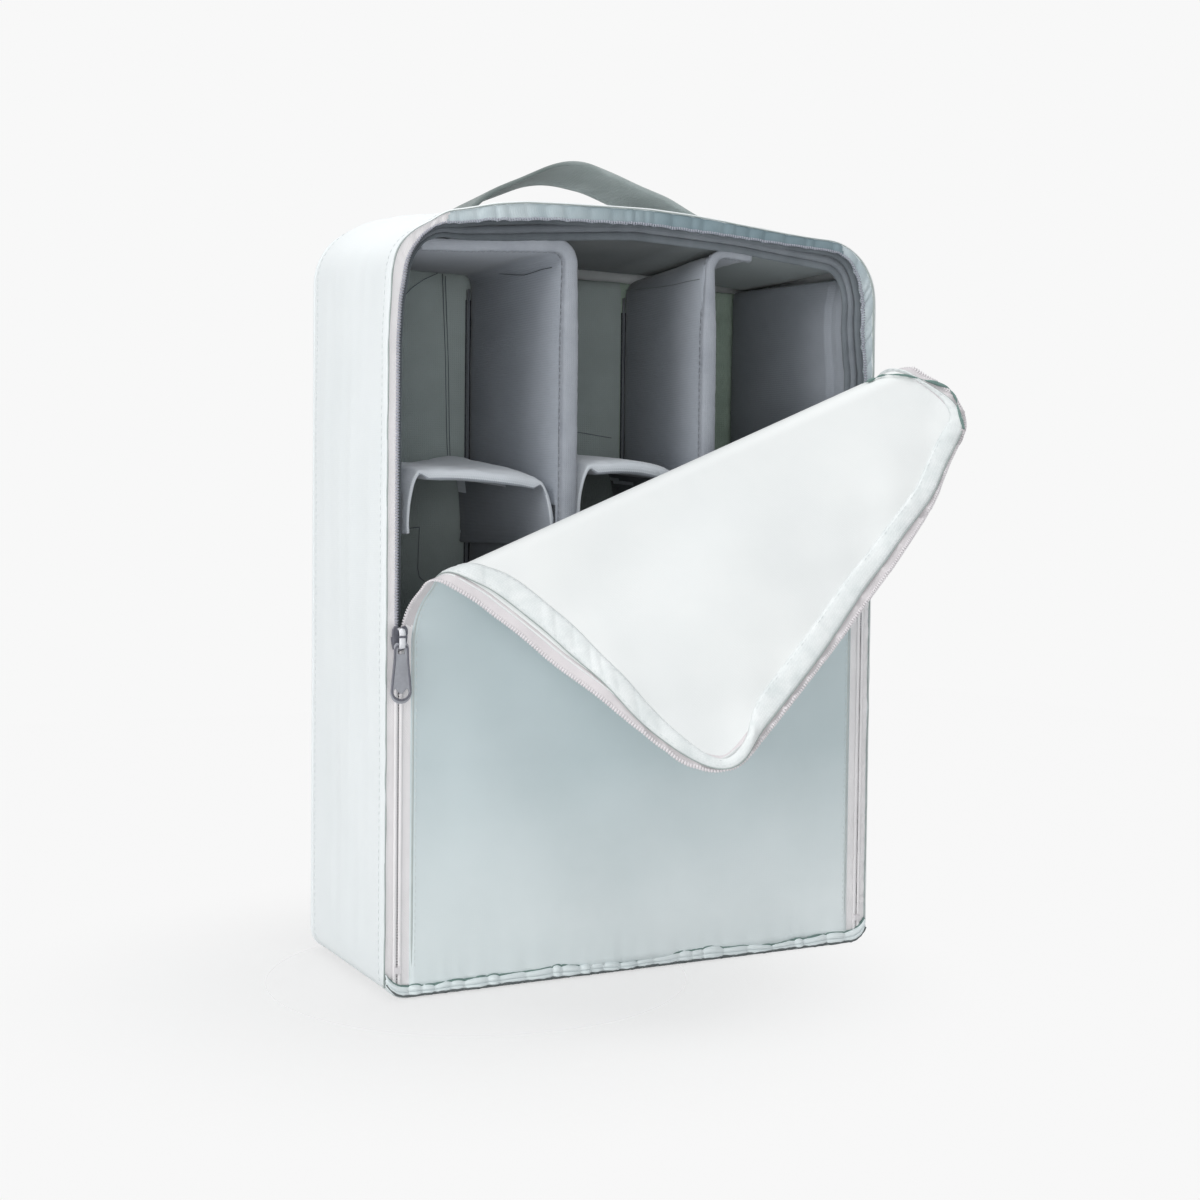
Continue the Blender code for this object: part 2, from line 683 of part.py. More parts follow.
# Shelves: a padded board with a thin tab at each end, which folds down and holds on to the wall
def make_shelf(name, height, left_at, right_at):
    """left_at and right_at give the shelf's two ends at a depth."""
    y_low = divider_front + SHELF_SETBACK
    y_high = divider_back
    width = right_at(y_low) - left_at(y_low)
    bend = SHELF_FOLD_RADIUS
    inner_bend = bend - SHELF_TAB_WALL
    foot = -SHELF_TAB_DROP
    board_low = (bend + GAP, y_low, -SHELF_WALL)
    board_high = (width - bend - GAP, y_high, 0)
    left_tab = [(0, foot)] + arc(bend, -bend, bend, 180, 90)
    left_tab += arc(bend, -bend, inner_bend, 90, 180) + [(SHELF_TAB_WALL, foot)]
    right_tab = [(width - x, z) for x, z in left_tab[::-1]]

    def fitted(point):
        share = point.x / width
        depth = (point.y - y_low) / (y_high - y_low)
        x = left_at(point.y) + share * (right_at(point.y) - left_at(point.y))
        crown = SHELF_CROWN * 4 * share * (1 - share)
        z = height + point.z + crown + SHELF_BACK_LIFT * depth - SHELF_SIDE_DROP * share
        return Vector((x, point.y, z))

    add_block(name, board_low, board_high, ARC_STEPS, GREY_LINING, fitted)
    add_plate_mesh(name + "_tab_left", left_tab, y_low, y_high, GREY_LINING, fitted)
    add_plate_mesh(name + "_tab_right", right_tab, y_low, y_high, GREY_LINING, fitted)
    patch_low = foot + HOOK_INSET / 2
    patch_high = -bend - HOOK_INSET / 2
    patch_front = y_low + HOOK_INSET
    patch_back = y_high - HOOK_INSET
    corners = [(0, patch_low), (HOOK_WALL, patch_low), (HOOK_WALL, patch_high), (0, patch_high)]
    ends = (("_hook_left", -1, left_at, 0), ("_hook_right", 1, right_at, SHELF_SIDE_DROP))
    for ending, side, wall_at, drop in ends:
        def beside(point):
            depth = (point.y - y_low) / (y_high - y_low)
            x = wall_at(point.y) + side * (GAP + point.x)
            return Vector((x, point.y, height + point.z + SHELF_BACK_LIFT * depth - drop))

        outline = corners if side > 0 else corners[::-1]
        patch = add_plate_mesh(name + ending, outline, patch_front, patch_back, HOOK_TAPE, beside)
        if side < 0:
            patch.data.flip_normals()


def make_shelves():
    half_wall = DIVIDER_WALL / 2
    tab_clear = GAP + HOOK_WALL + GAP
    left_wall = -inner_x + tab_clear
    middle_right = DIVIDER_RIGHT_X - half_wall - tab_clear

    def left_column_end(y):
        return left_divider_x(y) - half_wall - tab_clear

    def middle_column_start(y):
        return left_divider_x(y) + half_wall + tab_clear

    make_shelf("shelf_left", SHELF_LEFT_HEIGHT, lambda y: left_wall, left_column_end)
    make_shelf("shelf_middle", SHELF_MIDDLE_HEIGHT, middle_column_start, lambda y: middle_right)


# Webbing handle on the top, sewn down at both ends
def make_handle():
    half_span = HANDLE_SPAN / 2
    half_strap = HANDLE_WIDTH / 2
    foot_z = crowned(half_span, CASE_HEIGHT) + GAP

    def arch(share):
        x = HANDLE_SHIFT + half_span * share
        return x, foot_z + HANDLE_RISE * (1 - abs(share) ** HANDLE_SHAPE_SHARE)

    def strap(low_share, high_share):
        shares = np.linspace(low_share, high_share, ARCH_STEPS + 1)
        under = [arch(share) for share in shares]
        over = [(x, z + HANDLE_WALL) for x, z in under]
        return under + over[::-1]

    end_share = (1 - HANDLE_END_RISE / HANDLE_RISE) ** (1 / HANDLE_SHAPE_SHARE)
    clear_share = GAP / half_span
    hinge = add_pivot("handle_hinge", (HANDLE_SHIFT, 0, foot_z))
    middle = add_plate("handle", strap(-end_share, end_share), -half_strap, half_strap, GREY_WEBBING)
    carry(middle, hinge)
    outer_share = end_share + clear_share
    add_plate("handle_end_left", strap(-1, -outer_share), -half_strap, half_strap, GREY_WEBBING)
    add_plate("handle_end_right", strap(outer_share, 1), -half_strap, half_strap, GREY_WEBBING)
    for name, side in (("handle_anchor_left", -1), ("handle_anchor_right", 1)):
        near = HANDLE_SHIFT + side * (half_span + GAP)
        places = [near, near + side * ANCHOR_LENGTH / 2, near + side * ANCHOR_LENGTH]
        under = [(x, crowned(x, CASE_HEIGHT) + GAP) for x in places]
        over = [(x, z + HANDLE_WALL) for x, z in under]
        add_plate(name, under + over[::-1], -half_strap, half_strap, GREY_WEBBING)


make_cover()
make_padding()
make_zip()
make_flap()
make_sliders()
make_dividers()
make_shelves()
make_handle()

print("fold axis", [round(value, 5) for value in fold_axis])
print("fold axis goes through", [round(value, 5) for value in fold_point])
print("fold angle", round(math.degrees(fold_angle), 3))
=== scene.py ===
# %% [markdown]
# # A camera bag insert in Blender
# The real thing is a soft, upright box that slips into a larger bag. A thin coated cover is
# sewn round foam walls with a brushed grey lining. Padded dividers and shelves make the
# compartments, and a zipped flap closes the front. Here the flap hangs open, folded down
# over itself. The hard facts, such as sizes, joints and where each piece lies, come from
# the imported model. This file adds the cloth, the padding, the stitches and the light.

import math

import bmesh
import bpy
import numpy as np
from mathutils import Matrix, Vector


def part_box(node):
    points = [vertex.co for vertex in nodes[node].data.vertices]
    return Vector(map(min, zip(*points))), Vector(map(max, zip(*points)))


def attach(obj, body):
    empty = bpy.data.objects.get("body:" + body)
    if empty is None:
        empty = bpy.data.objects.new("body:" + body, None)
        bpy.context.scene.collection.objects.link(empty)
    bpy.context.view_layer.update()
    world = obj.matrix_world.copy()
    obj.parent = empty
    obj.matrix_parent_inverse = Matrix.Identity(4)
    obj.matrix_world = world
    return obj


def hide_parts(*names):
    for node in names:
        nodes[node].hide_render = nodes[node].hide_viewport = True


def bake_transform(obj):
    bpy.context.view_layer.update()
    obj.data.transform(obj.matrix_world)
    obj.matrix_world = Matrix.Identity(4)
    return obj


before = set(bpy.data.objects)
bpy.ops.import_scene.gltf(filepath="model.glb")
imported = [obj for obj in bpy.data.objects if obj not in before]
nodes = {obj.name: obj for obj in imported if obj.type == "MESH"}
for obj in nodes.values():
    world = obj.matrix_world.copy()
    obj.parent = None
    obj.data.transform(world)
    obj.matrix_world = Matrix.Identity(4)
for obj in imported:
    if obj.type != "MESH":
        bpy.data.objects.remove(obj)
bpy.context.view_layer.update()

# %% [markdown]
# ## Sizes
# Everything hangs on the outline of the case seen from the front: a tall box with large
# rounded corners at the top, small ones at the base, and a slightly crowned top. Sizes that
# the model already holds are read from its nodes. The others are repeated here in metres.

# %% Sizes that the pieces share
CASE_HEIGHT = 0.380
TOP_CROWN = 0.005
TOP_CORNER = 0.030
BASE_CORNER = 0.012
TOP_DROP = 0.0035
GAP = 0.0003
ZIP_INSET = 0.0059
ZIP_FOOT = 0.0058
FLAP_EDGE_INSET = 0.0143
half_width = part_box("cover_gusset")[1].x
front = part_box("cover_gusset")[0].y
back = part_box("cover_back")[1].y
depth = back - front
zip_y = (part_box("case_tape")[0].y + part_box("case_tape")[1].y) / 2
inner_x = -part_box("lining_left")[1].x
wall_slant = inner_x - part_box("lining_right")[0].x
inner_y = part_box("lining_back")[0].y
floor_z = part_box("lining_base")[1].z
ceiling_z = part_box("lining_top")[0].z
pad_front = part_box("lining_left")[0].y
print("inside", round(inner_x * 2, 4), "wide and", round(ceiling_z - floor_z, 4), "high")

# %% [markdown]
# ## Small helpers for meshes
# Most pieces of a bag are strips and panels, so one helper turns a grid of points into a
# mesh and keeps the cut size of the cloth in a UV map, in metres. A weave can then follow
# the cloth round every bend. Another helper spaces points evenly along a line.


# %% Helpers for lines and grids
def even(line, count):
    """The line again, as a number of evenly spaced points."""
    line = np.asarray(line, float)
    lengths = np.linalg.norm(np.diff(line, axis=0), axis=1)
    along = np.concatenate([[0], np.cumsum(lengths)])
    places = np.linspace(0, along[-1], count)
    return np.column_stack([np.interp(places, along, line[:, k]) for k in range(line.shape[1])])


def smoothstep(value, low, high):
    """0 at low, 1 at high, and an even S between them."""
    share = np.clip((np.asarray(value, float) - low) / (high - low), 0, 1)
    return share * share * (3 - 2 * share)


def ripple(points, size, seed):
    """Soft, uneven waves about as long as size, between -1 and 1."""
    points = np.asarray(points, float)
    dice = np.random.default_rng(seed)
    total = np.zeros(len(points))
    for _ in range(7):
        direction = dice.normal(size=points.shape[1])
        direction *= dice.uniform(0.6, 1.5) / np.linalg.norm(direction)
        total += np.sin(points @ direction * (2 * math.pi / size) + dice.uniform(0, 2 * math.pi))
    return total / 7 * 1.6


def gathers(along, spacing, seed):
    """Puckers between stitches that pinch the cloth: 0 at a pinch, 1 between two."""
    dice = np.random.default_rng(seed)
    steps = spacing * dice.uniform(0.45, 1.6, int(np.max(along) / spacing) * 2 + 8)
    pinches = np.cumsum(steps) - spacing
    k = np.clip(np.searchsorted(pinches, along) - 1, 0, len(pinches) - 2)
    share = (along - pinches[k]) / (pinches[k + 1] - pinches[k])
    strength = dice.uniform(0.45, 1.0, len(pinches))[k]
    return strength * np.sqrt(np.clip(np.sin(math.pi * np.clip(share, 0, 1)), 0, 1))


def smoothed(values):
    """A row of values whose corners are rounded off."""
    kernel = np.hanning(21) / np.hanning(21).sum()
    return np.convolve(np.pad(values, 10, mode="edge"), kernel, "valid")


def eased(line, rounds):
    """A line whose inner points have moved towards their neighbours."""
    line = np.array(line, float)
    for _ in range(rounds):
        line[1:-1] = (line[:-2] + 2 * line[1:-1] + line[2:]) / 4
    return line


def put(name, data):
    """An object of the scene from its mesh, curve, lamp or lens."""
    thing = bpy.data.objects.new(name, data)
    bpy.context.scene.collection.objects.link(thing)
    return thing


def give_mesh(name, points, faces, material, uv=None):
    """An object at the origin from points and faces."""
    mesh = bpy.data.meshes.new(name)
    mesh.from_pydata([tuple(p) for p in points], [], faces)
    if uv is not None:
        layer = mesh.uv_layers.new(name="cut")
        corners = np.zeros(len(mesh.loops), np.int32)
        mesh.loops.foreach_get("vertex_index", corners)
        layer.data.foreach_set("uv", np.asarray(uv, np.float32)[corners].ravel())
    mesh.materials.append(material)
    mesh.update()
    mesh.shade_smooth()
    return put(name, mesh)


def surface(name, grid, material, wrap=False, flip=False):
    """A mesh from a grid of points, rows by columns; wrap joins the last column to the first."""
    rows, columns = grid.shape[:2]
    across = np.zeros((rows, columns))
    across[:, 1:] = np.cumsum(np.linalg.norm(np.diff(grid, axis=1), axis=2), axis=1)
    along = np.zeros((rows, columns))
    along[1:] = np.cumsum(np.linalg.norm(np.diff(grid, axis=0), axis=2), axis=0)
    faces = []
    for r in range(rows - 1):
        for c in range(columns if wrap else columns - 1):
            d = (c + 1) % columns
            face = (r * columns + c, r * columns + d, (r + 1) * columns + d, (r + 1) * columns + c)
            faces.append(face[::-1] if flip else face)
    uv = np.column_stack([across.ravel(), along.ravel()])
    return give_mesh(name, grid.reshape(-1, 3), faces, material, uv)


def final_mesh(thing):
    """The mesh that a piece's modifiers or curve settings make."""
    bpy.context.view_layer.update()
    return bpy.data.meshes.new_from_object(thing.evaluated_get(bpy.context.evaluated_depsgraph_get()))


def bake(thing):
    """Turns a piece and its modifiers into one plain mesh."""
    mesh = final_mesh(thing)
    thing.modifiers.clear()
    thing.data = mesh
    return thing


def mend(thing, weld=True, fill=True):
    """Welds double points, closes open ends and turns every face outward."""
    shape = bmesh.new()
    shape.from_mesh(thing.data)
    if weld:
        bmesh.ops.remove_doubles(shape, verts=shape.verts, dist=1e-6)
    if fill:
        bmesh.ops.holes_fill(shape, edges=[e for e in shape.edges if e.is_boundary])
    bmesh.ops.recalc_face_normals(shape, faces=shape.faces)
    shape.to_mesh(thing.data)
    shape.free()
    thing.data.shade_smooth()
    return thing


def thicken(thing, wall, offset=-1.0, inside=None):
    """Gives cloth its thickness; inside is the finish of its other face."""
    solid = thing.modifiers.new("wall", "SOLIDIFY")
    solid.thickness = wall
    solid.offset = offset
    if inside is not None:
        thing.data.materials.append(inside)
        solid.material_offset = 1
    return bake(thing)


def coords(thing):
    """The points of a piece's mesh."""
    values = np.zeros(len(thing.data.vertices) * 3, np.float32)
    thing.data.vertices.foreach_get("co", values)
    return values.reshape(-1, 3).astype(float)


def set_coords(thing, points):
    thing.data.vertices.foreach_set("co", np.asarray(points, np.float32).ravel())
    thing.data.update()


def join(first, *others):
    """Puts the meshes of several objects into the first one."""
    shape = bmesh.new()
    slots = list(first.data.materials)
    for thing in (first, *others):
        start = len(shape.faces)
        shape.from_mesh(thing.data)
        shape.faces.ensure_lookup_table()
        for material in thing.data.materials:
            if material not in slots:
                slots.append(material)
        for face in shape.faces[start:]:
            face.material_index = slots.index(thing.data.materials[face.material_index])
    shape.to_mesh(first.data)
    shape.free()
    for material in slots[len(first.data.materials):]:
        first.data.materials.append(material)
    for thing in others:
        bpy.data.objects.remove(thing, do_unlink=True)
    return first


def part_of(thing, material, chosen):
    """Gives the chosen faces of a piece another finish."""
    thing.data.materials.append(material)
    for face in thing.data.polygons:
        if chosen(face):
            face.material_index = len(thing.data.materials) - 1


# %% [markdown]
# ## Materials
# A material starts from what the real one is and how its surface was made. Colours are
# written as they look on a screen and turned to linear light by one function. Patterns are
# spaced in real millimetres: a texture whose bands repeat every 2 pi / 20 of a unit gets
# its scale from the thread spacing.


# %% Colour and node helpers
def linear(colour):
    """An sRGB hex colour in linear light."""
    channels = [int(colour[k:k + 2], 16) / 255 for k in (1, 3, 5)]
    return (*[c / 12.92 if c <= 0.04045 else ((c + 0.055) / 1.055) ** 2.4 for c in channels], 1)


def add_node(tree, kind, inputs=None, **settings):
    """A node with its settings; an input is a value, or a socket to link from."""
    node = tree.nodes.new(kind)
    for name, value in settings.items():
        setattr(node, name, value)
    for key, value in (inputs or {}).items():
        if isinstance(value, bpy.types.NodeSocket):
            tree.links.new(value, node.inputs[key])
        else:
            node.inputs[key].default_value = value
    return node


def maths(tree, operation, first, second):
    """The result of two values or sockets."""
    return add_node(tree, "ShaderNodeMath", {0: first, 1: second}, operation=operation).outputs[0]


def blended(tree, share, first, second, **settings):
    """Two colours mixed by a share."""
    inputs = {0: share, 6: first, 7: second}
    return add_node(tree, "ShaderNodeMix", inputs, data_type="RGBA", **settings).outputs[2]


def ranged(tree, value, limits, **settings):
    """A value carried from one range to another; limits are From Min, From Max, To Min and To Max."""
    labels = ("From Min", "From Max", "To Min", "To Max")
    inputs = {"Value": value, **dict(zip(labels, limits))}
    return add_node(tree, "ShaderNodeMapRange", inputs, **settings).outputs[0]


def start_material(name, **shader_values):
    """A new material with its node tree and its shader."""
    material = bpy.data.materials.new(name)
    material.use_nodes = True
    shader = material.node_tree.nodes["Principled BSDF"]
    for key, value in shader_values.items():
        shader.inputs[key.replace("_", " ")].default_value = value
    return material, material.node_tree, shader


def bands_at(spacing):
    """The scale at which a wave texture repeats once in a real distance."""
    return math.pi / 10 / spacing


# %% [markdown]
# ### Cloth finishes
# The cover is polyester with a thin polyurethane coating: smooth, satin, with a plain weave
# that only just shows. Zip tape is a tight twill. The lining is a brushed knit glued to
# foam, soft and matt. They differ in thread spacing, in how uneven the colour is, and in
# sheen, so one builder with those inputs makes them all. The real cover weave, at 0.3 mm,
# is too fine for the picture, so it is drawn at 1.1 mm.


# %% Cloth materials
def make_cloth(name, light, dark, thread, relief, roughness, sheen, blotch, twill=0.0, contrast=0.05,
               shade=None):
    """Woven or knitted cloth on the piece's own UV map, in metres.

    thread is the pitch of the weave and relief its depth, blotch is the size of its uneven
    patches and twill the angle of its ribs. shade multiplies a colour in along one axis:
    axis, where it is full, where it is gone, colour.
    """
    material, tree, shader = start_material(
        name, Roughness=roughness, Sheen_Weight=sheen, Sheen_Roughness=0.4)
    place = add_node(tree, "ShaderNodeTexCoord")
    turn = add_node(tree, "ShaderNodeMapping", {"Vector": place.outputs["UV"], "Rotation": (0, 0, twill)})
    warp, weft = [add_node(tree, "ShaderNodeTexWave", {
        "Vector": turn.outputs[0], "Scale": bands_at(thread), "Distortion": 0.6,
        "Detail Scale": 2.0}, bands_direction=direction).outputs["Fac"] for direction in "XY"]
    weave = maths(tree, "MULTIPLY", warp, weft)
    uneven = add_node(tree, "ShaderNodeTexNoise", {
        "Vector": place.outputs["Object"], "Scale": 1 / blotch,
        "Detail": 4.0, "Roughness": 0.6}).outputs["Fac"]
    fuzz = add_node(tree, "ShaderNodeTexNoise", {
        "Vector": place.outputs["Object"], "Scale": 1 / thread, "Detail": 3.0}).outputs["Fac"]
    base = blended(tree, ranged(tree, uneven, (0.3, 0.7)), linear(dark), linear(light))
    if shade:
        axis, full, gone, colour = shade
        at = add_node(tree, "ShaderNodeSeparateXYZ", {0: place.outputs["Object"]})
        cast = blended(tree, ranged(tree, at.outputs[axis], (full, gone)), linear(colour), (1, 1, 1, 1))
        base = blended(tree, 1.0, base, cast, blend_type="MULTIPLY")
    tone = ranged(tree, weave, (0.0, 1.0, 1 - contrast, 1.01))
    threads = blended(tree, 1.0, base, tone, blend_type="MULTIPLY")
    tree.links.new(threads, shader.inputs["Base Color"])
    bump = add_node(tree, "ShaderNodeBump", {
        "Height": maths(tree, "ADD", weave, fuzz), "Strength": 0.5, "Distance": relief})
    tree.links.new(bump.outputs[0], shader.inputs["Normal"])
    shine = ranged(tree, uneven, (0.0, 1.0, roughness - 0.06, roughness + 0.06))
    tree.links.new(shine, shader.inputs["Roughness"])
    return material


POLYESTER = dict(thread=0.0011, relief=0.00003, roughness=0.48, sheen=0.08, blotch=0.09, contrast=0.012)
INSIDE_OUT = dict(POLYESTER, roughness=0.60, blotch=0.12, contrast=0.015)
TAPE = dict(thread=0.0009, relief=0.00012, roughness=0.62, sheen=0.15, blotch=0.02, twill=math.pi / 4)
GATHERED = dict(TAPE, roughness=0.60, blotch=0.012)
PRESSED = dict(thread=0.0009, relief=0.00006, roughness=0.75, sheen=0.05, blotch=0.010)
KNIT = dict(thread=0.0012, relief=0.00018, roughness=0.92, sheen=0.20, blotch=0.03)
RIBBON = dict(thread=0.0010, relief=0.00025, roughness=0.80, sheen=0.15, blotch=0.015)
X_AXIS, Y_AXIS, Z_AXIS = 0, 1, 2
# Painted shade: the edges round the mouth are darker at the left
PAINTED_SHADE_LEFT = (X_AXIS, -0.060, 0.030, "#CACCCD")

# Coated polyester: satin and pale mint, the coating fills the weave and gives a soft shine
coated_polyester = make_cloth("coated_polyester_mint", "#EDF1F2", "#E6EBEC", **POLYESTER)
# The same cloth in the flap, a little more green, with painted shade: darker higher up, under the fold
flap_polyester = make_cloth("coated_polyester_flap_painted_shade", "#EFF6F7", "#E5EEEF", **POLYESTER,
                            shade=(Z_AXIS, 0.110, 0.025, "#DEE4E6"))
# The uncoated back of the same cloth, seen where the flap is folded: neutral and duller
cover_inside = make_cloth("polyester_cloth_inside", "#EDEFEE", "#E4E7E7", **INSIDE_OUT)
# Polyester zip tape: a tight twill, matt and slightly warm, painted lighter than it is, as light against the
# shade where it lies recessed beside the closed zip
zip_tape = make_cloth("polyester_zip_tape", "#FCF9FA", "#F3F0F1", **TAPE)
# The same tape on the folded part and above the sliders, painted darker: shade where it turns from the light
folded_tape = make_cloth("polyester_zip_tape_painted_shade", "#E2DDDF", "#D4CFD1", **TAPE)
# Gathered tape and turned-in cover at the right of the mouth: cooler, with a blue cast, darker than the tape
# below, partly the turned-in cover's colour and partly painted shade
mouth_tape = make_cloth("polyester_zip_tape_cool", "#D3DEE2", "#B4C3C9", **GATHERED)
# The same along the top, with painted shade: darker towards the right
top_tape = make_cloth("polyester_zip_tape_gathered", "#DEE8EB", "#C6D4D9", **GATHERED,
                      shade=(X_AXIS, 0.010, -0.085, "#A0AEB4"))
# Grooves beside the seams of the flap, drawn as cords painted in the shade that falls in them
groove_shade = make_cloth("painted_groove_shade", "#C9D0CF", "#B8C1C0", **PRESSED)
# Creases and gaps at the turned edges of the cover and its seams: cords painted in the shade that falls in
# them
edge_shade = make_cloth("painted_edge_shade", "#B4BDBB", "#9DA8A5", **PRESSED)
# Brushed knit over foam: soft and matt, with a bloom where it turns from the eye, and
# painted shade: darker towards the back of the case
brushed_knit = make_cloth("brushed_knit_grey", "#B2B8C1", "#A7ADB6", **dict(KNIT, sheen=0.25),
                          shade=(Y_AXIS, 0.040, -0.038, "#A9A9A9"))
# The shelves' knit, painted lighter as light on their tops; their undersides take the darker wall knit as
# painted shade
shelf_knit = make_cloth("brushed_knit_painted_light", "#DDE2E8", "#D0D6DC", **dict(KNIT, sheen=0.30))
# The same knit overhead, in a greener grey, painted darker than the walls as the shade overhead, and darker
# still towards the left
ceiling_knit = make_cloth("brushed_knit_ceiling", "#9BA4A5", "#8F9899", **KNIT,
                          shade=(X_AXIS, 0.020, 0.055, "#909293"))
# The same knit on the back wall, in a greener grey
back_knit = make_cloth("brushed_knit_green_grey", "#ADB8B6", "#A1ABA9", **KNIT)
# Loop tape beside the right divider: an olive grey pile, painted much lighter than it is, as light into the
# shade deep in the case
loop_tape = make_cloth("loop_tape_olive", "#B7CABB", "#9AAC9E",
                       thread=0.0012, relief=0.00030, roughness=0.95, sheen=0.20, blotch=0.02)
# Knit turned over the rim of the mouth, painted darker than the walls for the shade it lies in, and darker
# still at the left
mouth_knit = make_cloth("brushed_knit_painted_shade", "#7F868C", "#6C7379",
                        **dict(KNIT, relief=0.00015, roughness=0.90, blotch=0.015), shade=PAINTED_SHADE_LEFT)
# Grosgrain binding round the padded edges: fine ribs across a narrow ribbon
grosgrain = make_cloth("grosgrain_ribbon_grey", "#ABB0B8", "#9A9FA8", **RIBBON)
# The same ribbon round the mouth, painted darker for the shade it lies in, and darker still at the left
mouth_ribbon = make_cloth("grosgrain_ribbon_painted_shade", "#8B9198", "#797F86", **RIBBON, shade=PAINTED_SHADE_LEFT)
# Non-woven binding on the flap's seam allowance: thin, pale and mottled
seam_binding = make_cloth("nonwoven_binding_white", "#EFF2F2", "#DCE2E2",
                          thread=0.0014, relief=0.00015, roughness=0.60, sheen=0.10, blotch=0.009)
# Polypropylene webbing: coarse ribs, with a low sheen along them, and painted shade: darker on the left of
# the strap
webbing = make_cloth("polypropylene_webbing", "#B2BBBA", "#9FA9A7",
                     thread=0.0017, relief=0.00040, roughness=0.70, sheen=0.20, blotch=0.02,
                     shade=(X_AXIS, -0.045, -0.005, "#B2B6B5"))
print("cloths", [m.name for m in (coated_polyester, zip_tape, brushed_knit, webbing)])

# %% [markdown]
# ### Nylon, metal, foam and hook tape
# Zip coils are drawn nylon, smooth and pale. Sliders are cast zinc with a dull plating,
# painted dark as shade on the plates and bright as a highlight on the bridge. Foam has open
# cells, and hook tape is a dark field of tiny hooks. None of them is woven, so their detail
# comes from noise and cells at real sizes.


# %% Other materials
def make_grainy(name, light, dark, grain, relief, cells=False, **shader_values):
    """A solid material with grain: noise, or cells for foam and hooks."""
    material, tree, shader = start_material(name, **shader_values)
    place = add_node(tree, "ShaderNodeTexCoord")
    if cells:
        pattern = add_node(tree, "ShaderNodeTexVoronoi", {
            "Vector": place.outputs["Object"], "Scale": 1 / grain})
        value = pattern.outputs["Distance"]
    else:
        pattern = add_node(tree, "ShaderNodeTexNoise", {
            "Vector": place.outputs["Object"], "Scale": 1 / grain, "Detail": 5.0})
        value = pattern.outputs["Fac"]
    tree.links.new(blended(tree, value, linear(dark), linear(light)), shader.inputs["Base Color"])
    bump = add_node(tree, "ShaderNodeBump", {"Height": value, "Strength": 0.4, "Distance": relief})
    tree.links.new(bump.outputs[0], shader.inputs["Normal"])
    return material


# Nylon coil: drawn thread, smooth and grey-white; a paler copy on the flap and where the zip is closed,
# partly the coil's light colour and partly painted light that hides the shade between the teeth
nylon_coil = make_grainy("nylon_coil", "#B6B8C2", "#9A9CA8", 0.002, 0.00005, Roughness=0.40)
pale_coil = make_grainy("nylon_coil_pale", "#ECE8EA", "#DAD6D9", 0.002, 0.00005, Roughness=0.45)
# Cast zinc with a dull plating; the slider's plates and the pull's border are painted darker as shade, and
# the bridge painted bright as a highlight
cast_zinc = make_grainy(
    "cast_zinc_grey", "#ABADB4", "#92949B", 0.0015, 0.00006, Metallic=0.35, Roughness=0.42)
zinc_shade = make_grainy(
    "cast_zinc_painted_shade", "#74757E", "#5C5D66", 0.0012, 0.00006, Metallic=0.35, Roughness=0.45)
zinc_highlight = make_grainy(
    "cast_zinc_painted_highlight", "#EDEDF0", "#D2D3D8", 0.0012, 0.00006, Metallic=0.25, Roughness=0.38)
# Polyester sewing thread: matt twist, drawn as small grains
sewing_thread = make_grainy("sewing_thread_pale", "#E6EAEA", "#C9D0D1", 0.0008, 0.0001, Roughness=0.7)
lining_thread = make_grainy("sewing_thread_grey", "#A8ADB5", "#858A92", 0.0008, 0.0001, Roughness=0.75)
# Painted shadow under the hem's ragged edge, drawn as a dark grainy cord
hem_shadow = make_grainy("painted_hem_shadow", "#6E7474", "#565C5E", 0.0008, 0.0001, Roughness=0.85)
# Cloth in the depth of a tight pucker
pucker_shade = make_grainy("creased_cloth_shaded", "#7C9590", "#617A75", 0.0012, 0.0001, Roughness=0.8)
# Polyurethane foam: open cells, fully matt
open_foam = make_grainy("polyurethane_foam", "#8A8D92", "#55585D", 0.0016, 0.0006, cells=True, Roughness=0.98)
# Nylon hook tape: a dark ground with rows of small hooks
hook_tape = make_grainy("nylon_hook_tape", "#4C5056", "#23262A", 0.0011, 0.0007, cells=True, Roughness=0.8)
print("solids", [m.name for m in (nylon_coil, cast_zinc, open_foam, hook_tape)])

# %% [markdown]
# ## Outlines of the case
# The cover, the zip and the lining all run round the same outline at different distances in
# from the edge. One function gives the line over the top, as the model has it, and the
# others add the feet of an open band or the base of a closed one.


# %% Outline functions
def crowned(x, z):
    share = np.clip((z - CASE_HEIGHT + TOP_CORNER) / TOP_CORNER, 0, None)
    return z + TOP_CROWN * share * (1 - (x / half_width) ** 2)


def over_the_top(inset, drop=0.0):
    """From the left side over both top corners to the right side, as x and z."""
    radius = TOP_CORNER - inset
    across = half_width - TOP_CORNER
    angles = np.linspace(math.pi, math.pi / 2, 17)
    left = np.column_stack([-across + radius * np.cos(angles), radius * np.sin(angles)])
    middle = np.column_stack([np.linspace(-across, across, 42)[1:-1], np.full(40, radius)])
    line = np.vstack([left, middle, left[::-1] * (-1, 1)])
    line[:, 1] += CASE_HEIGHT - TOP_CORNER - drop
    line[:, 1] = crowned(line[:, 0], line[:, 1])
    return line


def mouth_line(inset, drop=TOP_DROP, foot=ZIP_FOOT):
    """An open line round the mouth, from the left foot to the right foot."""
    x = half_width - inset
    return np.vstack([[(-x, foot)], over_the_top(inset, drop), [(x, foot)]])


def case_loop(inset, count):
    """The whole outline from the middle of the base, as evenly spaced points."""
    radius = BASE_CORNER - inset
    across = half_width - BASE_CORNER
    angles = np.linspace(-math.pi / 2, -math.pi, 9)
    corner = np.column_stack([-across + radius * np.cos(angles), BASE_CORNER + radius * np.sin(angles)])
    ring = np.vstack([[(0, inset)], corner, over_the_top(inset), corner[::-1] * (-1, 1), [(0, inset)]])
    return even(ring, count + 1)[:-1]


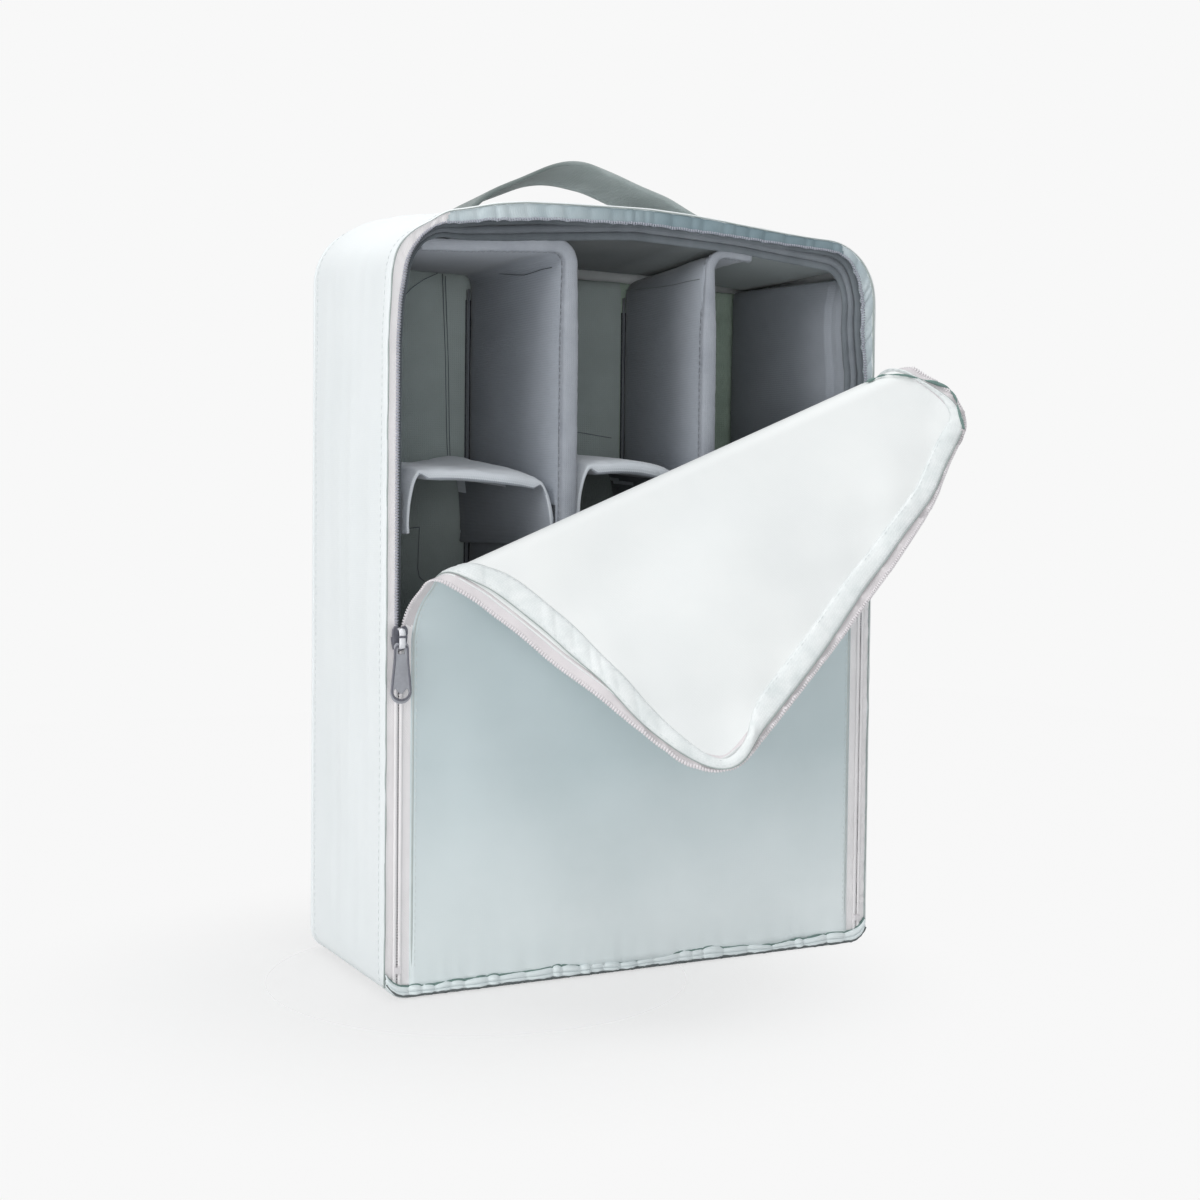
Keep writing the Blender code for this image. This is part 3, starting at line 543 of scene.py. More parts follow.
def outward(line):
    """The direction out of a clockwise line at each point."""
    step = np.gradient(line, axis=0)
    out = np.column_stack([-step[:, 1], step[:, 0]])
    return out / np.linalg.norm(out, axis=1)[:, None]


def at_depth(line, y):
    """Points of an outline as x, y and z."""
    return np.column_stack([line[:, 0], np.broadcast_to(y, len(line)), line[:, 1]])


print("mouth is", round(np.linalg.norm(np.diff(mouth_line(0.006), axis=0), axis=1).sum(), 3), "m round")

# %% [markdown]
# ## How the open top sags
# With the flap unzipped nothing holds the mouth taut, so its upper left corner drops by more
# than a centimetre and the rim dips a little towards the right. It could be found by a cloth
# simulation of the whole bag. Here it is a table of shifts at the rim and at the zip line,
# read from the photograph, and one function moves every piece near the mouth by the same
# amount, which keeps the seams together. Towards the back, which is stiffer, it fades out.

# %% Shifts of the rim and of the zip line
SOFT_REACH, SOFT_FOOT = 0.070, 0.310
RIM_PLACES = [-0.140, -0.119, -0.1147, -0.1114, -0.1078, -0.1011, -0.0895, -0.0795, -0.0697, -0.0504,
              -0.0171, 0.0, 0.0229, 0.053, 0.0694, 0.0788, 0.0899, 0.0995, 0.1077, 0.120, 0.140]
RIM_SHIFT = [0, -0.0019, -0.0043, -0.0060, -0.0086, -0.0118, -0.0076, -0.0038, -0.0020, -0.0014,
             -0.0005, 0, -0.0004, -0.0018, -0.0024, -0.0029, -0.0030, -0.0022, -0.0008, 0, 0]
ZIP_PLACES = [-0.140, -0.1263, -0.1144, -0.1098, -0.1036, -0.0937, -0.0831, -0.0637, -0.030, -0.006,
              0.0231, 0.0531, 0.0695, 0.0796, 0.094, 0.1025, 0.1065, 0.1110, 0.1204, 0.1356, 0.140]
ZIP_SHIFT = [0, -0.0010, -0.0050, -0.0058, -0.0055, -0.0043, -0.0017, 0.0006, 0.0018, 0.0030,
             0.0024, 0.0021, 0.0017, 0.0017, 0.0022, 0.0016, -0.0006, -0.0030, -0.0036, -0.0012, 0]


even_places = np.linspace(-0.14, 0.14, 600)


def round_place(x, z):
    """A place along the top of the mouth, the distance up from its middle, and the direction."""
    near_x = np.clip(x, -SOFT_REACH, SOFT_REACH)
    turn = np.arctan2(x - near_x, z - SOFT_FOOT)
    return near_x + SOFT_REACH * turn / (math.pi / 2), np.hypot(x - near_x, z - SOFT_FOOT), turn


def reach_of(line):
    """Distances up to an outline at even places along the top."""
    feet = np.array([(line[0, 0], SOFT_FOOT), (line[-1, 0], SOFT_FOOT)])
    place, reach, _ = round_place(*even(np.vstack([feet[:1], line, feet[1:]]), 2400).T)
    return np.interp(even_places, place, reach)


rim_reach, zip_reach = reach_of(over_the_top(0.0)), reach_of(over_the_top(ZIP_INSET, TOP_DROP))
rim_moves = smoothed(np.interp(even_places, RIM_PLACES, RIM_SHIFT))
zip_moves = smoothed(np.interp(even_places, ZIP_PLACES, ZIP_SHIFT))


def sag(points):
    """Points of the case, moved as the open top has dropped."""
    points = np.array(points, float)
    place, reach, turn = round_place(points[:, 0], points[:, 2])
    rim, zip_at = np.interp(place, even_places, rim_reach), np.interp(place, even_places, zip_reach)
    at_rim, at_zip = np.interp(place, even_places, rim_moves), np.interp(place, even_places, zip_moves)
    inside = at_zip * smoothstep(reach / zip_at, 0.45, 1.0)
    share = np.clip((reach - zip_at) / (rim - zip_at), 0, 1)
    above = 1 - smoothstep(reach - rim, 0.003, 0.016)
    move = np.where(reach < zip_at, inside, at_zip + (at_rim - at_zip) * share) * above
    move = move * (1 - smoothstep(points[:, 1], -0.050, 0.032)) * (points[:, 2] > SOFT_FOOT - 0.03)
    points[:, 0] += np.sin(turn) * move
    points[:, 2] += np.cos(turn) * move
    return points


def let_sag(*things):
    """Moves whole pieces along with the sagging top."""
    for thing in things:
        set_coords(thing, sag(coords(thing)))


print("the rim drops by up to", round(-1000 * rim_moves.min(), 1), "mm")

# %% [markdown]
# ## The cover
# The cover is a strip round the sides, closed by a back panel, and both are soft: they
# bulge between the seams, most in the upper right, and carry faint creases that run from
# top to bottom. It could be a box with a cloth simulation on it. A grid that follows the
# outline is used instead, because the seams then stay exactly where the zip needs them, and
# the bulge can be set from the photograph.


# %% Cover strip and back panel
LOOP_POINTS = 400
BACK_ROUND = 0.005
COVER_WALL = 0.0009


def bulge(line, y):
    """How far the cover stands out from its outline."""
    x, z = line[:, 0], line[:, 1]
    side = smoothstep(np.abs(x), half_width - 0.012, half_width - 0.001)
    upper = smoothstep(z, 0.05, 0.24)
    reach = np.where(x > 0, 0.0012 + 0.0034 * upper, 0.0014)
    on_side = side * reach * np.clip(np.sin(math.pi * np.clip((z - 0.006) / 0.36, 0, 1)), 0, 1) ** 0.5
    on_top = smoothstep(z, CASE_HEIGHT - 0.008, CASE_HEIGHT) * 0.0008
    share = (y - front) / depth
    amount = (on_side + on_top) * np.sin(math.pi * share) ** 0.7
    streaks = ripple(np.column_stack([np.full(len(x), y) / 0.55, z / 9, x / 9]), 0.020, 4)
    dents = ripple(np.column_stack([np.full(len(x), y), z, x]), 0.075, 9)
    free = smoothstep(z, 0.002, 0.03) * np.sin(math.pi * np.clip(share, 0, 1)) ** 0.5
    return amount + free * (0.00045 * streaks + 0.0006 * dents)


def cover_row(inset, y):
    """The outline of the cover at one depth; at its full size it also bulges."""
    line = case_loop(inset, LOOP_POINTS)
    if inset == 0:
        line = line + outward(line) * bulge(line, y)[:, None]
        line[:, 1] = np.maximum(line[:, 1], 0)
    return at_depth(line, y)


lip = [(0.0028, front + 0.0020), (0.0022, front + 0.0006), (0.0012, front), (0.0004, front + 0.0003)]
turn = np.linspace(0, math.pi / 2, 6)[1:]
rounding = [(BACK_ROUND * (1 - math.cos(a)), back - BACK_ROUND * (1 - math.sin(a))) for a in turn]
rows = [cover_row(*place) for place in lip]
rows += [cover_row(0, y) for y in np.linspace(front + 0.0012, back - BACK_ROUND, 36)]
rows += [cover_row(*place) for place in rounding]
cover = surface("cover_shell", np.array(rows), coated_polyester, wrap=True)
print("cover strip", len(cover.data.polygons), "faces")


# %% Back panel as a patch between four curved edges
def patch(bottom, top, left, right):
    """Points between four edge lines, rows from bottom to top."""
    u = np.linspace(0, 1, len(bottom))[None, :, None]
    v = np.linspace(0, 1, len(left))[:, None, None]
    between = (1 - v) * bottom[None] + v * top[None] + (1 - u) * left[:, None] + u * right[:, None]
    corners = (1 - u) * (1 - v) * bottom[0] + u * (1 - v) * bottom[-1]
    corners = corners + (1 - u) * v * top[0] + u * v * top[-1]
    return between - corners


def split_loop(inset):
    """The closed outline as its bottom, top, left and right edges, cut at the corners."""
    count = 1600
    line = case_loop(inset, count)
    low = half_width - BASE_CORNER * 0.3
    cut_low_left = np.argmin(np.hypot(line[:, 0] + low, line[:, 1] - BASE_CORNER * 0.3))
    high = half_width - TOP_CORNER * 0.3
    cut_high_left = np.argmin(np.hypot(line[:, 0] + high, line[:, 1] - CASE_HEIGHT + TOP_CORNER * 0.3))
    left = line[cut_low_left:cut_high_left + 1]
    top = line[cut_high_left:count - cut_high_left + 1]
    right = left * (-1, 1)
    bottom = np.vstack([line[count - cut_low_left:], line[:cut_low_left + 1]])[::-1]
    return bottom, top, left, right


ACROSS, UP = 76, 104
edges_of_back = zip(split_loop(BACK_ROUND - 0.0004), (ACROSS, ACROSS, UP, UP))
panel = patch(*[even(edge, count) for edge, count in edges_of_back])
u = np.linspace(0, 1, ACROSS)[None, :]
v = np.linspace(0, 1, UP)[:, None]
dome = (np.sin(math.pi * u) * np.sin(math.pi * v)) ** 0.45
waves = ripple(panel.reshape(-1, 2), 0.11, 31).reshape(dome.shape)
panel_y = back - 0.0002 + dome * (0.0022 + 0.0009 * waves)
grid = np.dstack([panel[..., 0], panel_y, panel[..., 1]])
back_panel = surface("back_panel", grid, coated_polyester, flip=True)
join(cover, back_panel)
thicken(cover, COVER_WALL)
let_sag(cover)
print("cover with its back", len(cover.data.polygons), "faces")

# %% [markdown]
# ## Strips, welts and stitches
# A tape is a strip between two outlines, and a welt is a thin round cord in a seam. Stitches
# and zip teeth are one small shape, repeated hundreds of times at a steady pitch along a
# line, which is what Geometry Nodes do best: the line is resampled at the pitch, and an
# instance is turned to the line and to the cloth at every point.


# %% Strip and welt helpers
def strip(name, lines, material, wall, flip=False):
    """A band of cloth through several lines of points, given its thickness on both sides."""
    band = surface(name, np.array(lines), material, flip=flip)
    return thicken(band, wall, 0.0)


def frames_along(path):
    """Unit directions along a line of points."""
    step = np.gradient(path, axis=0)
    return step / np.linalg.norm(step, axis=1)[:, None]


def welt(name, path, radius, material, facing, wrap=False, flatten=1.0, sides=8):
    """A round or flattened cord along a line; facing is the cloth's normal there.

    The radius is one value, or a column with one value for each point of the line.
    """
    if wrap:
        along = np.roll(path, -1, axis=0) - np.roll(path, 1, axis=0)
        along /= np.linalg.norm(along, axis=1)[:, None]
    else:
        along = frames_along(path)
    facing = np.broadcast_to(np.asarray(facing, float), path.shape)
    across = np.cross(along, facing)
    across /= np.linalg.norm(across, axis=1)[:, None]
    angles = np.linspace(0, 2 * math.pi, sides, endpoint=False)
    rings = [path + radius * (math.cos(a) * across + flatten * math.sin(a) * facing) for a in angles]
    grid = np.stack(rings, axis=1)
    if wrap:
        grid = np.vstack([grid, grid[:1]])
    return mend(surface(name, grid, material, wrap=True), fill=not wrap)


# %% Geometry Nodes tree that repeats a small shape along a line
def repeat_tree(name, unit):
    """A modifier that repeats a zip tooth or a stitch along the edges of a mesh."""
    tree = bpy.data.node_groups.new(name, "GeometryNodeTree")
    tree.interface.new_socket("Geometry", in_out="INPUT", socket_type="NodeSocketGeometry")
    for label in ("Pitch", "Length", "Width", "Height", "Unevenness"):
        tree.interface.new_socket(label, in_out="INPUT", socket_type="NodeSocketFloat")
    tree.interface.new_socket("Material", in_out="INPUT", socket_type="NodeSocketMaterial")
    tree.interface.new_socket("Geometry", in_out="OUTPUT", socket_type="NodeSocketGeometry")
    source = add_node(tree, "NodeGroupInput")
    line = add_node(tree, "GeometryNodeMeshToCurve", {"Mesh": source.outputs["Geometry"]})
    points = add_node(tree, "GeometryNodeResampleCurve", {
        "Curve": line.outputs[0], "Length": source.outputs["Pitch"]}, mode="LENGTH")
    facing = add_node(tree, "GeometryNodeInputNamedAttribute", {"Name": "facing"}, data_type="FLOAT_VECTOR")
    along = add_node(tree, "GeometryNodeInputTangent")
    turned = add_node(tree, "FunctionNodeAxesToRotation", {
        "Primary Axis": facing.outputs["Attribute"], "Secondary Axis": along.outputs[0]},
        primary_axis="Z", secondary_axis="X")
    if unit == "tooth":
        shape = add_node(tree, "GeometryNodeMeshCylinder", {"Vertices": 7, "Radius": 0.5, "Depth": 1.0})
        across = add_node(tree, "GeometryNodeTransform", {
            "Geometry": shape.outputs["Mesh"], "Rotation": (math.pi / 2, 0, 0)})
        small = across.outputs[0]
    else:
        shape = add_node(tree, "GeometryNodeMeshUVSphere", {"Segments": 7, "Rings": 5, "Radius": 0.5})
        small = shape.outputs["Mesh"]
    size = add_node(tree, "ShaderNodeCombineXYZ", {
        0: source.outputs["Length"], 1: source.outputs["Width"], 2: source.outputs["Height"]})
    low = maths(tree, "SUBTRACT", 1.0, source.outputs["Unevenness"])
    chance = add_node(tree, "FunctionNodeRandomValue", {2: low, 3: 1.0, "Seed": 7}, data_type="FLOAT")
    scale = add_node(tree, "ShaderNodeVectorMath", {
        0: size.outputs[0], "Scale": chance.outputs[1]}, operation="SCALE")
    copies = add_node(tree, "GeometryNodeInstanceOnPoints", {
        "Points": points.outputs[0], "Instance": small,
        "Rotation": turned.outputs[0], "Scale": scale.outputs[0]})
    real = add_node(tree, "GeometryNodeRealizeInstances", {"Geometry": copies.outputs[0]})
    soft = add_node(tree, "GeometryNodeSetShadeSmooth", {"Geometry": real.outputs[0]})
    painted = add_node(tree, "GeometryNodeSetMaterial", {
        "Geometry": soft.outputs[0], "Material": source.outputs["Material"]})
    add_node(tree, "NodeGroupOutput", {0: painted.outputs[0]})
    return tree


tooth_tree = repeat_tree("zip_teeth", "tooth")
stitch_tree = repeat_tree("stitches", "stitch")
# Pitch, length, width and height of each kind of stitch and tooth
COVER_STITCH = (0.0036, 0.0026, 0.0005, 0.0003)
FLAP_STITCH = (0.0032, 0.0022, 0.0004, 0.0003)
LINING_STITCH = (0.0034, 0.0024, 0.0006, 0.0005)
STRAP_STITCH = (0.0030, 0.0022, 0.0006, 0.0005)
FLAP_TOOTH = (0.0014, 0.0010, 0.0019, 0.0011)
CASE_TOOTH = (0.0014, 0.0010, 0.0016, 0.0012)
TOOTH_UNEVENNESS = 0.04


def repeat_along(name, paths, facings, tree, sizes, material, uneven=0.15):
    """One small shape along one or more lines of points, turned to the cloth's normal."""
    points, edges, normals = [], [], []
    for path, facing in zip(paths, facings):
        start = len(points)
        points += [tuple(p) for p in path]
        edges += [(start + k, start + k + 1) for k in range(len(path) - 1)]
        normals.append(np.broadcast_to(np.asarray(facing, float), np.shape(path)))
    mesh = bpy.data.meshes.new(name)
    mesh.from_pydata(points, edges, [])
    normal = mesh.attributes.new("facing", "FLOAT_VECTOR", "POINT")
    normal.data.foreach_set("vector", np.vstack(normals).astype(np.float32).ravel())
    row = put(name, mesh)
    maker = row.modifiers.new("repeat", "NODES")
    maker.node_group = tree
    sockets = {item.name: item.identifier for item in tree.interface.items_tree if item.in_out == "INPUT"}
    values = {**dict(zip(("Pitch", "Length", "Width", "Height"), sizes)),
              "Unevenness": uneven, "Material": material}
    for label, value in values.items():
        maker[sockets[label]] = value
    bake(row)
    row.data.shade_smooth()
    return row


OUT_FRONT = (0, -1, 0)
print("trees", tooth_tree.name, stitch_tree.name)

# %% [markdown]
# ## Seams of the cover
# A thin welt finishes the edge of the mouth, and another the seam round the back. The hem
# under the flap is gathered: its stitches pinch the cloth every centimetre or so, and it
# puffs between them.

# %% Welts and stitches of the cover
loop = case_loop(0.0006, 900)
mouth_welt = welt("mouth_welt", at_depth(loop, front - 0.0004 + 0.0002 * ripple(loop, 0.02, 5)),
                  0.0009, coated_polyester, OUT_FRONT, wrap=True)
loop = case_loop(0.0008, 900)
back_welt = welt("back_welt", at_depth(loop, back - 0.0016), 0.0011, coated_polyester, (0, 1, 0), wrap=True)
seam_lines, seam_facings = [], []
for y in (front + 0.0042, back - 0.0085):
    line = case_loop(0, 900)
    lifted = line + outward(line) * (bulge(line, y) + 0.0001)[:, None]
    keep = lifted[:, 1] > 0.0005
    lifted[:, 1] = np.maximum(lifted[:, 1], 0.0003)
    seam_lines.append(at_depth(lifted, y)[keep])
    seam_facings.append(at_depth(outward(line), 0)[keep])
cover_stitches = repeat_along("cover_stitches", seam_lines, seam_facings, stitch_tree,
                              COVER_STITCH, sewing_thread)
let_sag(mouth_welt, cover_stitches)
print("stitches on the cover", len(cover_stitches.data.polygons) // 35)

# %% Gathered hem below the flap
HEM_HEIGHT = 0.0050
HEM_WALL = 0.0006
hem_x = np.linspace(-half_width + 0.0012, half_width - 0.0012, 340)
hem_along = hem_x + half_width
puff_hem = gathers(hem_along, 0.010, 12)
wave = 0.6 * ripple(hem_x[:, None], 0.075, 3) + 0.4 * ripple(hem_x[:, None], 0.024, 33)
past_corner = np.clip(np.abs(hem_x) - (half_width - BASE_CORNER), 0, None)
hem_low = BASE_CORNER - np.sqrt(BASE_CORNER ** 2 - past_corner ** 2) + 0.0005
hem_top = hem_low + HEM_HEIGHT + 0.0018 * wave + 0.0010 * (puff_hem - 0.5)
hem_lines = []
for share in np.linspace(0, 1, 17):
    z = hem_low + (hem_top - hem_low) * share
    roll = abs(math.sin(2 * math.pi * min(1, 0.02 + share * 0.96))) ** 0.6
    body = math.sin(math.pi * (0.08 + 0.84 * share)) ** 0.5
    y = front - 0.0006 - body * (0.0008 + 0.0011 * puff_hem) - roll * (0.0003 + 0.0012 * puff_hem)
    hem_lines.append(np.column_stack([hem_x, y, z]))
front_hem = strip("front_hem", hem_lines, flap_polyester, HEM_WALL)


def hem_cord(name, forward, z, swelling, material):
    """A cord along the hem, at a distance in front of the case; its radius swells by up to swelling."""
    path = np.column_stack([hem_x, front - forward, z])
    return welt(name, path, 0.00030 + swelling, material, OUT_FRONT)


# Cords painted in shade along the hem: at the seam above it, in the tuck along its middle, and under the
# ragged edge of the cloth below
hem_seam = hem_cord("hem_seam", 0.0012 + 0.0004 * puff_hem, hem_top + 0.0001,
                    0.00060 * gathers(hem_along, 0.013, 16)[:, None], pucker_shade)
join(hem_seam,
     hem_cord("hem_tuck", 0.0016 + 0.0003 * puff_hem, (hem_low + hem_top) / 2 + 0.0003 * wave,
              0.0, edge_shade),
     hem_cord("hem_raw_edge_shadow", 0.0024 + 0.0012 * puff_hem,
              hem_low + 0.0004 + 0.0005 * gathers(hem_along, 0.004, 15),
              0.00045 * gathers(hem_along, 0.009, 17)[:, None], hem_shadow))
print("hem", len(hem_x), "points long")

# %% [markdown]
# ## How the flap folds
# The flap is one flat panel when it is zipped. Its upper part has been pulled down over the
# lower part, so it leans out, rolls round a soft crease and hangs in front. A flat sheet can
# only bend like that round a cone, so every point of the flat panel is carried onto the
# same cone as the model uses. The fabric, its tape, its coil and its binding are all made
# flat, and one function folds them together.

# %% Cone of the fold
# The cone's tip lies this far to the left of the middle; the fold starts at these drops
# from the top, leans out over the first spread of angles and rolls over during the second
APEX_REACH = 0.749
FOLD_LEFT_DROP = 0.2228
FOLD_RIGHT_DROP = 0.1187
LEAN_SPREAD, LEAN_BEND = math.radians(3.01), math.radians(47.76)
ROLL_SPREAD, ROLL_BEND = math.radians(1.15), math.radians(98.63)
slope = (FOLD_LEFT_DROP - FOLD_RIGHT_DROP) / (2 * half_width)
apex_z = CASE_HEIGHT - FOLD_LEFT_DROP - slope * (APEX_REACH - half_width)
apex = np.array([-APEX_REACH, zip_y, apex_z])
lean_start = math.atan(slope)
roll_start = lean_start + LEAN_SPREAD
fold_end = roll_start + ROLL_SPREAD
slider_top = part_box("slider_left")[1].z


def turned(vectors, axis, angles):
    """Vectors turned about one axis, each by its own angle."""
    vectors = np.broadcast_to(vectors, (len(angles), 3))
    c, s = np.cos(angles)[:, None], np.sin(angles)[:, None]
    return vectors * c + np.cross(axis, vectors) * s + axis * (vectors @ axis)[:, None] * (1 - c)


def flat_axes(angle):
    """Ruling, across and normal of the flat flap at one angle of the cone."""
    return [np.array(v) for v in ((math.cos(angle), 0, math.sin(angle)),
                                  (-math.sin(angle), 0, math.cos(angle)), (0.0, -1.0, 0.0))]


def bent_axes(axes, bend, spread, angles):
    """Ruling, across and normal after going some angles round one part of the cone."""
    spin = axes[2] + axes[0] * (bend / spread)
    speed = np.linalg.norm(spin)
    return [turned(direction, spin / speed, np.asarray(angles) * speed) for direction in axes]


lean_axes = [d[0] for d in bent_axes(flat_axes(lean_start), LEAN_BEND, LEAN_SPREAD, [LEAN_SPREAD])]
end_axes = [d[0] for d in bent_axes(lean_axes, ROLL_BEND, ROLL_SPREAD, [ROLL_SPREAD])]


def on_cone(x, z):
    """The place and the normal of points of the flat flap once it is folded."""
    angle = np.arctan2(z - apex[2], x - apex[0])
    reach = np.hypot(z - apex[2], x - apex[0])
    ruling = np.column_stack([np.cos(angle), np.zeros(len(angle)), np.sin(angle)])
    normal = np.broadcast_to([0.0, -1.0, 0.0], ruling.shape).copy()
    lean = (angle > lean_start) & (angle <= roll_start)
    ruling[lean], _, normal[lean] = bent_axes(
        flat_axes(lean_start), LEAN_BEND, LEAN_SPREAD, angle[lean] - lean_start)
    roll = (angle > roll_start) & (angle <= fold_end)
    ruling[roll], _, normal[roll] = bent_axes(lean_axes, ROLL_BEND, ROLL_SPREAD, angle[roll] - roll_start)
    hang = angle > fold_end
    past = (angle[hang] - fold_end)[:, None]
    ruling[hang] = end_axes[0] * np.cos(past) + end_axes[1] * np.sin(past)
    normal[hang] = end_axes[2]
    return apex + ruling * reach[:, None], normal


print("the flap turns", round(math.degrees(LEAN_BEND + ROLL_BEND), 1), "degrees")


# %% Soft shape of the flap on top of the cone
# How far the loose edges bow: in by height at the left, up by x along the top
LEFT_BOW = ([0.170, 0.178, 0.186, 0.196, 0.212, 0.232,
             0.248, 0.272, 0.297, 0.320, 0.345, 0.375],
            [0.0, 0.0012, 0.0030, 0.0042, 0.0054, 0.0072,
             0.0066, 0.0040, 0.0013, -0.0006, -0.0016, -0.0022])
TOP_BOW = ([-0.140, -0.124, -0.111, -0.100, -0.070, -0.037, 0.000,
            0.020, 0.053, 0.068, 0.080, 0.092, 0.110, 0.140],
           [0.0024, 0.0030, 0.0036, 0.0038, 0.0048, 0.0058, 0.0062,
            0.0070, 0.0068, 0.0062, 0.0040, 0.0021, 0.0004, 0.0])
bow_x, bow_z = [np.linspace(table[0][0], table[0][-1], 300) for table in (TOP_BOW, LEFT_BOW)]
bow_up, bow_in = smoothed(np.interp(bow_x, *TOP_BOW)), smoothed(np.interp(bow_z, *LEFT_BOW))


def relaxed(x, z):
    """Where the loose cloth lies in its own plane: the left edge bows in, the top edge out."""
    by_left = 1 - smoothstep(x, -0.118, -0.060)
    by_top = smoothstep(z, 0.315, 0.366)
    return x + np.interp(z, bow_z, bow_in) * by_left, z + np.interp(x, bow_x, bow_up) * by_top


def fold(x, z, lift):
    """Points of the flat flap, lifted off it by a distance, as they lie on the open bag."""
    x, z = np.asarray(x, float), np.asarray(z, float)
    lift = np.broadcast_to(np.asarray(lift, float), x.shape)
    angle = np.arctan2(z - apex[2], x - apex[0])
    hanging = smoothstep(angle, fold_end, fold_end + 0.06)
    loose_x, loose_z = relaxed(x, z)
    place, normal = on_cone(loose_x, loose_z)
    near_edge = smoothstep(np.abs(x), half_width - 0.055, half_width - 0.012)
    near_top = smoothstep(z, 0.325, 0.365)
    edge = np.maximum(near_edge, near_top)
    flat = np.column_stack([x, z])
    soft = 0.0020 * ripple(flat, 0.13, 21) + 0.0012 * edge * ripple(flat, 0.038, 22)
    far_corner = smoothstep(x, 0.085, 0.125) * smoothstep(z, 0.31, 0.36)
    soft = soft + far_corner * 0.0016 * ripple(flat, 0.016, 26)
    soft = soft - 0.004 * smoothstep(-x, 0.085, 0.135) * smoothstep(z, 0.325, 0.375)
    low = 1 - smoothstep(angle, lean_start - 0.05, lean_start + 0.01)
    up, across = (z - ZIP_FOOT) / 0.19, (x + half_width) / (2 * half_width)
    belly = np.sin(math.pi * np.clip(up, 0, 1)) * np.sin(math.pi * np.clip(across, 0, 1))
    away = smoothstep(half_width - np.abs(x), 0.016, 0.05)
    relief = hanging * soft + low * away * (0.0026 * belly + 0.0010 * ripple(flat, 0.09, 24))
    place = place + normal * (lift + relief)[:, None]
    flat_place = np.column_stack([loose_x, zip_y - lift, loose_z])
    zipped = (1 - smoothstep(x, -half_width + 0.012, -half_width + 0.042)) * (
        1 - smoothstep(z, slider_top - 0.001, slider_top + 0.022))
    return place * (1 - zipped)[:, None] + flat_place * zipped[:, None]


def fold_line(line, lift):
    """A line of the flat flap, folded, and the cloth's normal along it."""
    place = fold(line[:, 0], line[:, 1], lift)
    raised = fold(line[:, 0], line[:, 1], np.asarray(lift) + 0.001)
    facing = raised - place
    return place, facing / np.linalg.norm(facing, axis=1)[:, None]


check = fold([0.0, 0.0], [0.05, 0.33], 0.0)
print("a low point of the flap lies at", np.round(check[0], 3), "and a high one at", np.round(check[1], 3))

# %% [markdown]
# ## The flap's panel
# The grid of the panel follows the fold: below it the rows are level and turn into the
# rulings of the cone, through the roll they are close together, and above it they run into
# the rounded top edge. That keeps the crease smooth with few faces.

# %% Panel
COLUMNS = 97
PANEL_FOOT = 0.0042
PANEL_WALL = 0.0008
PANEL_INSET = FLAP_EDGE_INSET - 0.0012
edge_x = half_width - PANEL_INSET
columns_x = np.linspace(-edge_x, edge_x, COLUMNS)


def ruling_line(angle):
    """The flat flap's points along one ruling of the cone."""
    return np.column_stack([columns_x, apex[2] + (columns_x - apex[0]) * math.tan(angle)])


right_half = hem_x > 0
foot_low = PANEL_FOOT + 0.8 * np.interp(np.abs(columns_x), hem_x[right_half], hem_low[right_half])
foot_line = np.column_stack([columns_x, foot_low])
crease = ruling_line(lean_start)
flat_rows = [foot_line * (1 - s) + crease * s for s in np.linspace(0, 1, 58)[:-1]]
flat_rows += [ruling_line(a) for a in np.linspace(lean_start, roll_start, 18)[:-1]]
flat_rows += [ruling_line(a) for a in np.linspace(roll_start, fold_end, 20)]
end_line = flat_rows[-1]
outline = over_the_top(PANEL_INSET, TOP_DROP)
corner = TOP_CORNER - PANEL_INSET
cut_left = np.argmin(np.abs(outline[:, 0] + half_width - TOP_CORNER + corner * 0.7))
left_edge = even(np.vstack([end_line[:1], outline[:cut_left + 1]]), 50)
right_edge = even(np.vstack([end_line[-1:], outline[::-1][:cut_left + 1]]), 50)
top_edge = even(outline[cut_left:len(outline) - cut_left], COLUMNS)
upper = patch(even(end_line, COLUMNS), top_edge, left_edge, right_edge)
flat = np.concatenate([np.array(flat_rows), upper[1:]])
hem_puff = gathers(flat[..., 0] + half_width, 0.010, 12)
hem_puff *= np.exp(-np.clip(flat[..., 1] - PANEL_FOOT, 0, 1) / 0.007)
points = fold(flat[..., 0].ravel(), flat[..., 1].ravel(), 0.0014 * hem_puff.ravel())
flap_panel = surface("flap_panel", points.reshape(*flat.shape[:2], 3), flap_polyester)
panel_outline = np.vstack([foot_line, mouth_line(PANEL_INSET)[::-1]])
thicken(flap_panel, PANEL_WALL, 0.0, inside=cover_inside)

# %% [markdown]
# ## The flap's zip tape, coil and binding
# A seam joins the panel to its half of the zip, and inside the fold a pale binding covers
# that seam. The tape is a little longer than the edge it is sewn to, so it ruffles, most
# round the corners. The tape, the teeth and the binding are made as flat lines at their
# insets and then go through the same fold.

# %% Insets along the edge of the flap
EDGE_POINTS = 760
OUTER_LINE, MIDDLE_LINE, INNER_LINE = 0.006, 0.012, 0.026
FLAP_TAPE_OUT, FLAP_TAPE_IN = 0.0078, 0.0150
TAPE_WALL, BINDING_WALL = 0.0006, 0.0005
PANEL_STITCH_INSET = 0.0158
along_edge = np.linspace(0, 1, EDGE_POINTS)
edge_length = np.linalg.norm(np.diff(mouth_line(MIDDLE_LINE), axis=0), axis=1).sum()
ruffle = gathers(along_edge * edge_length, 0.013, 8)
loose = smoothstep(along_edge, 0.30, 0.36) * (1 - smoothstep(along_edge, 0.70, 0.76))
edge_at = even(mouth_line(MIDDLE_LINE), EDGE_POINTS)


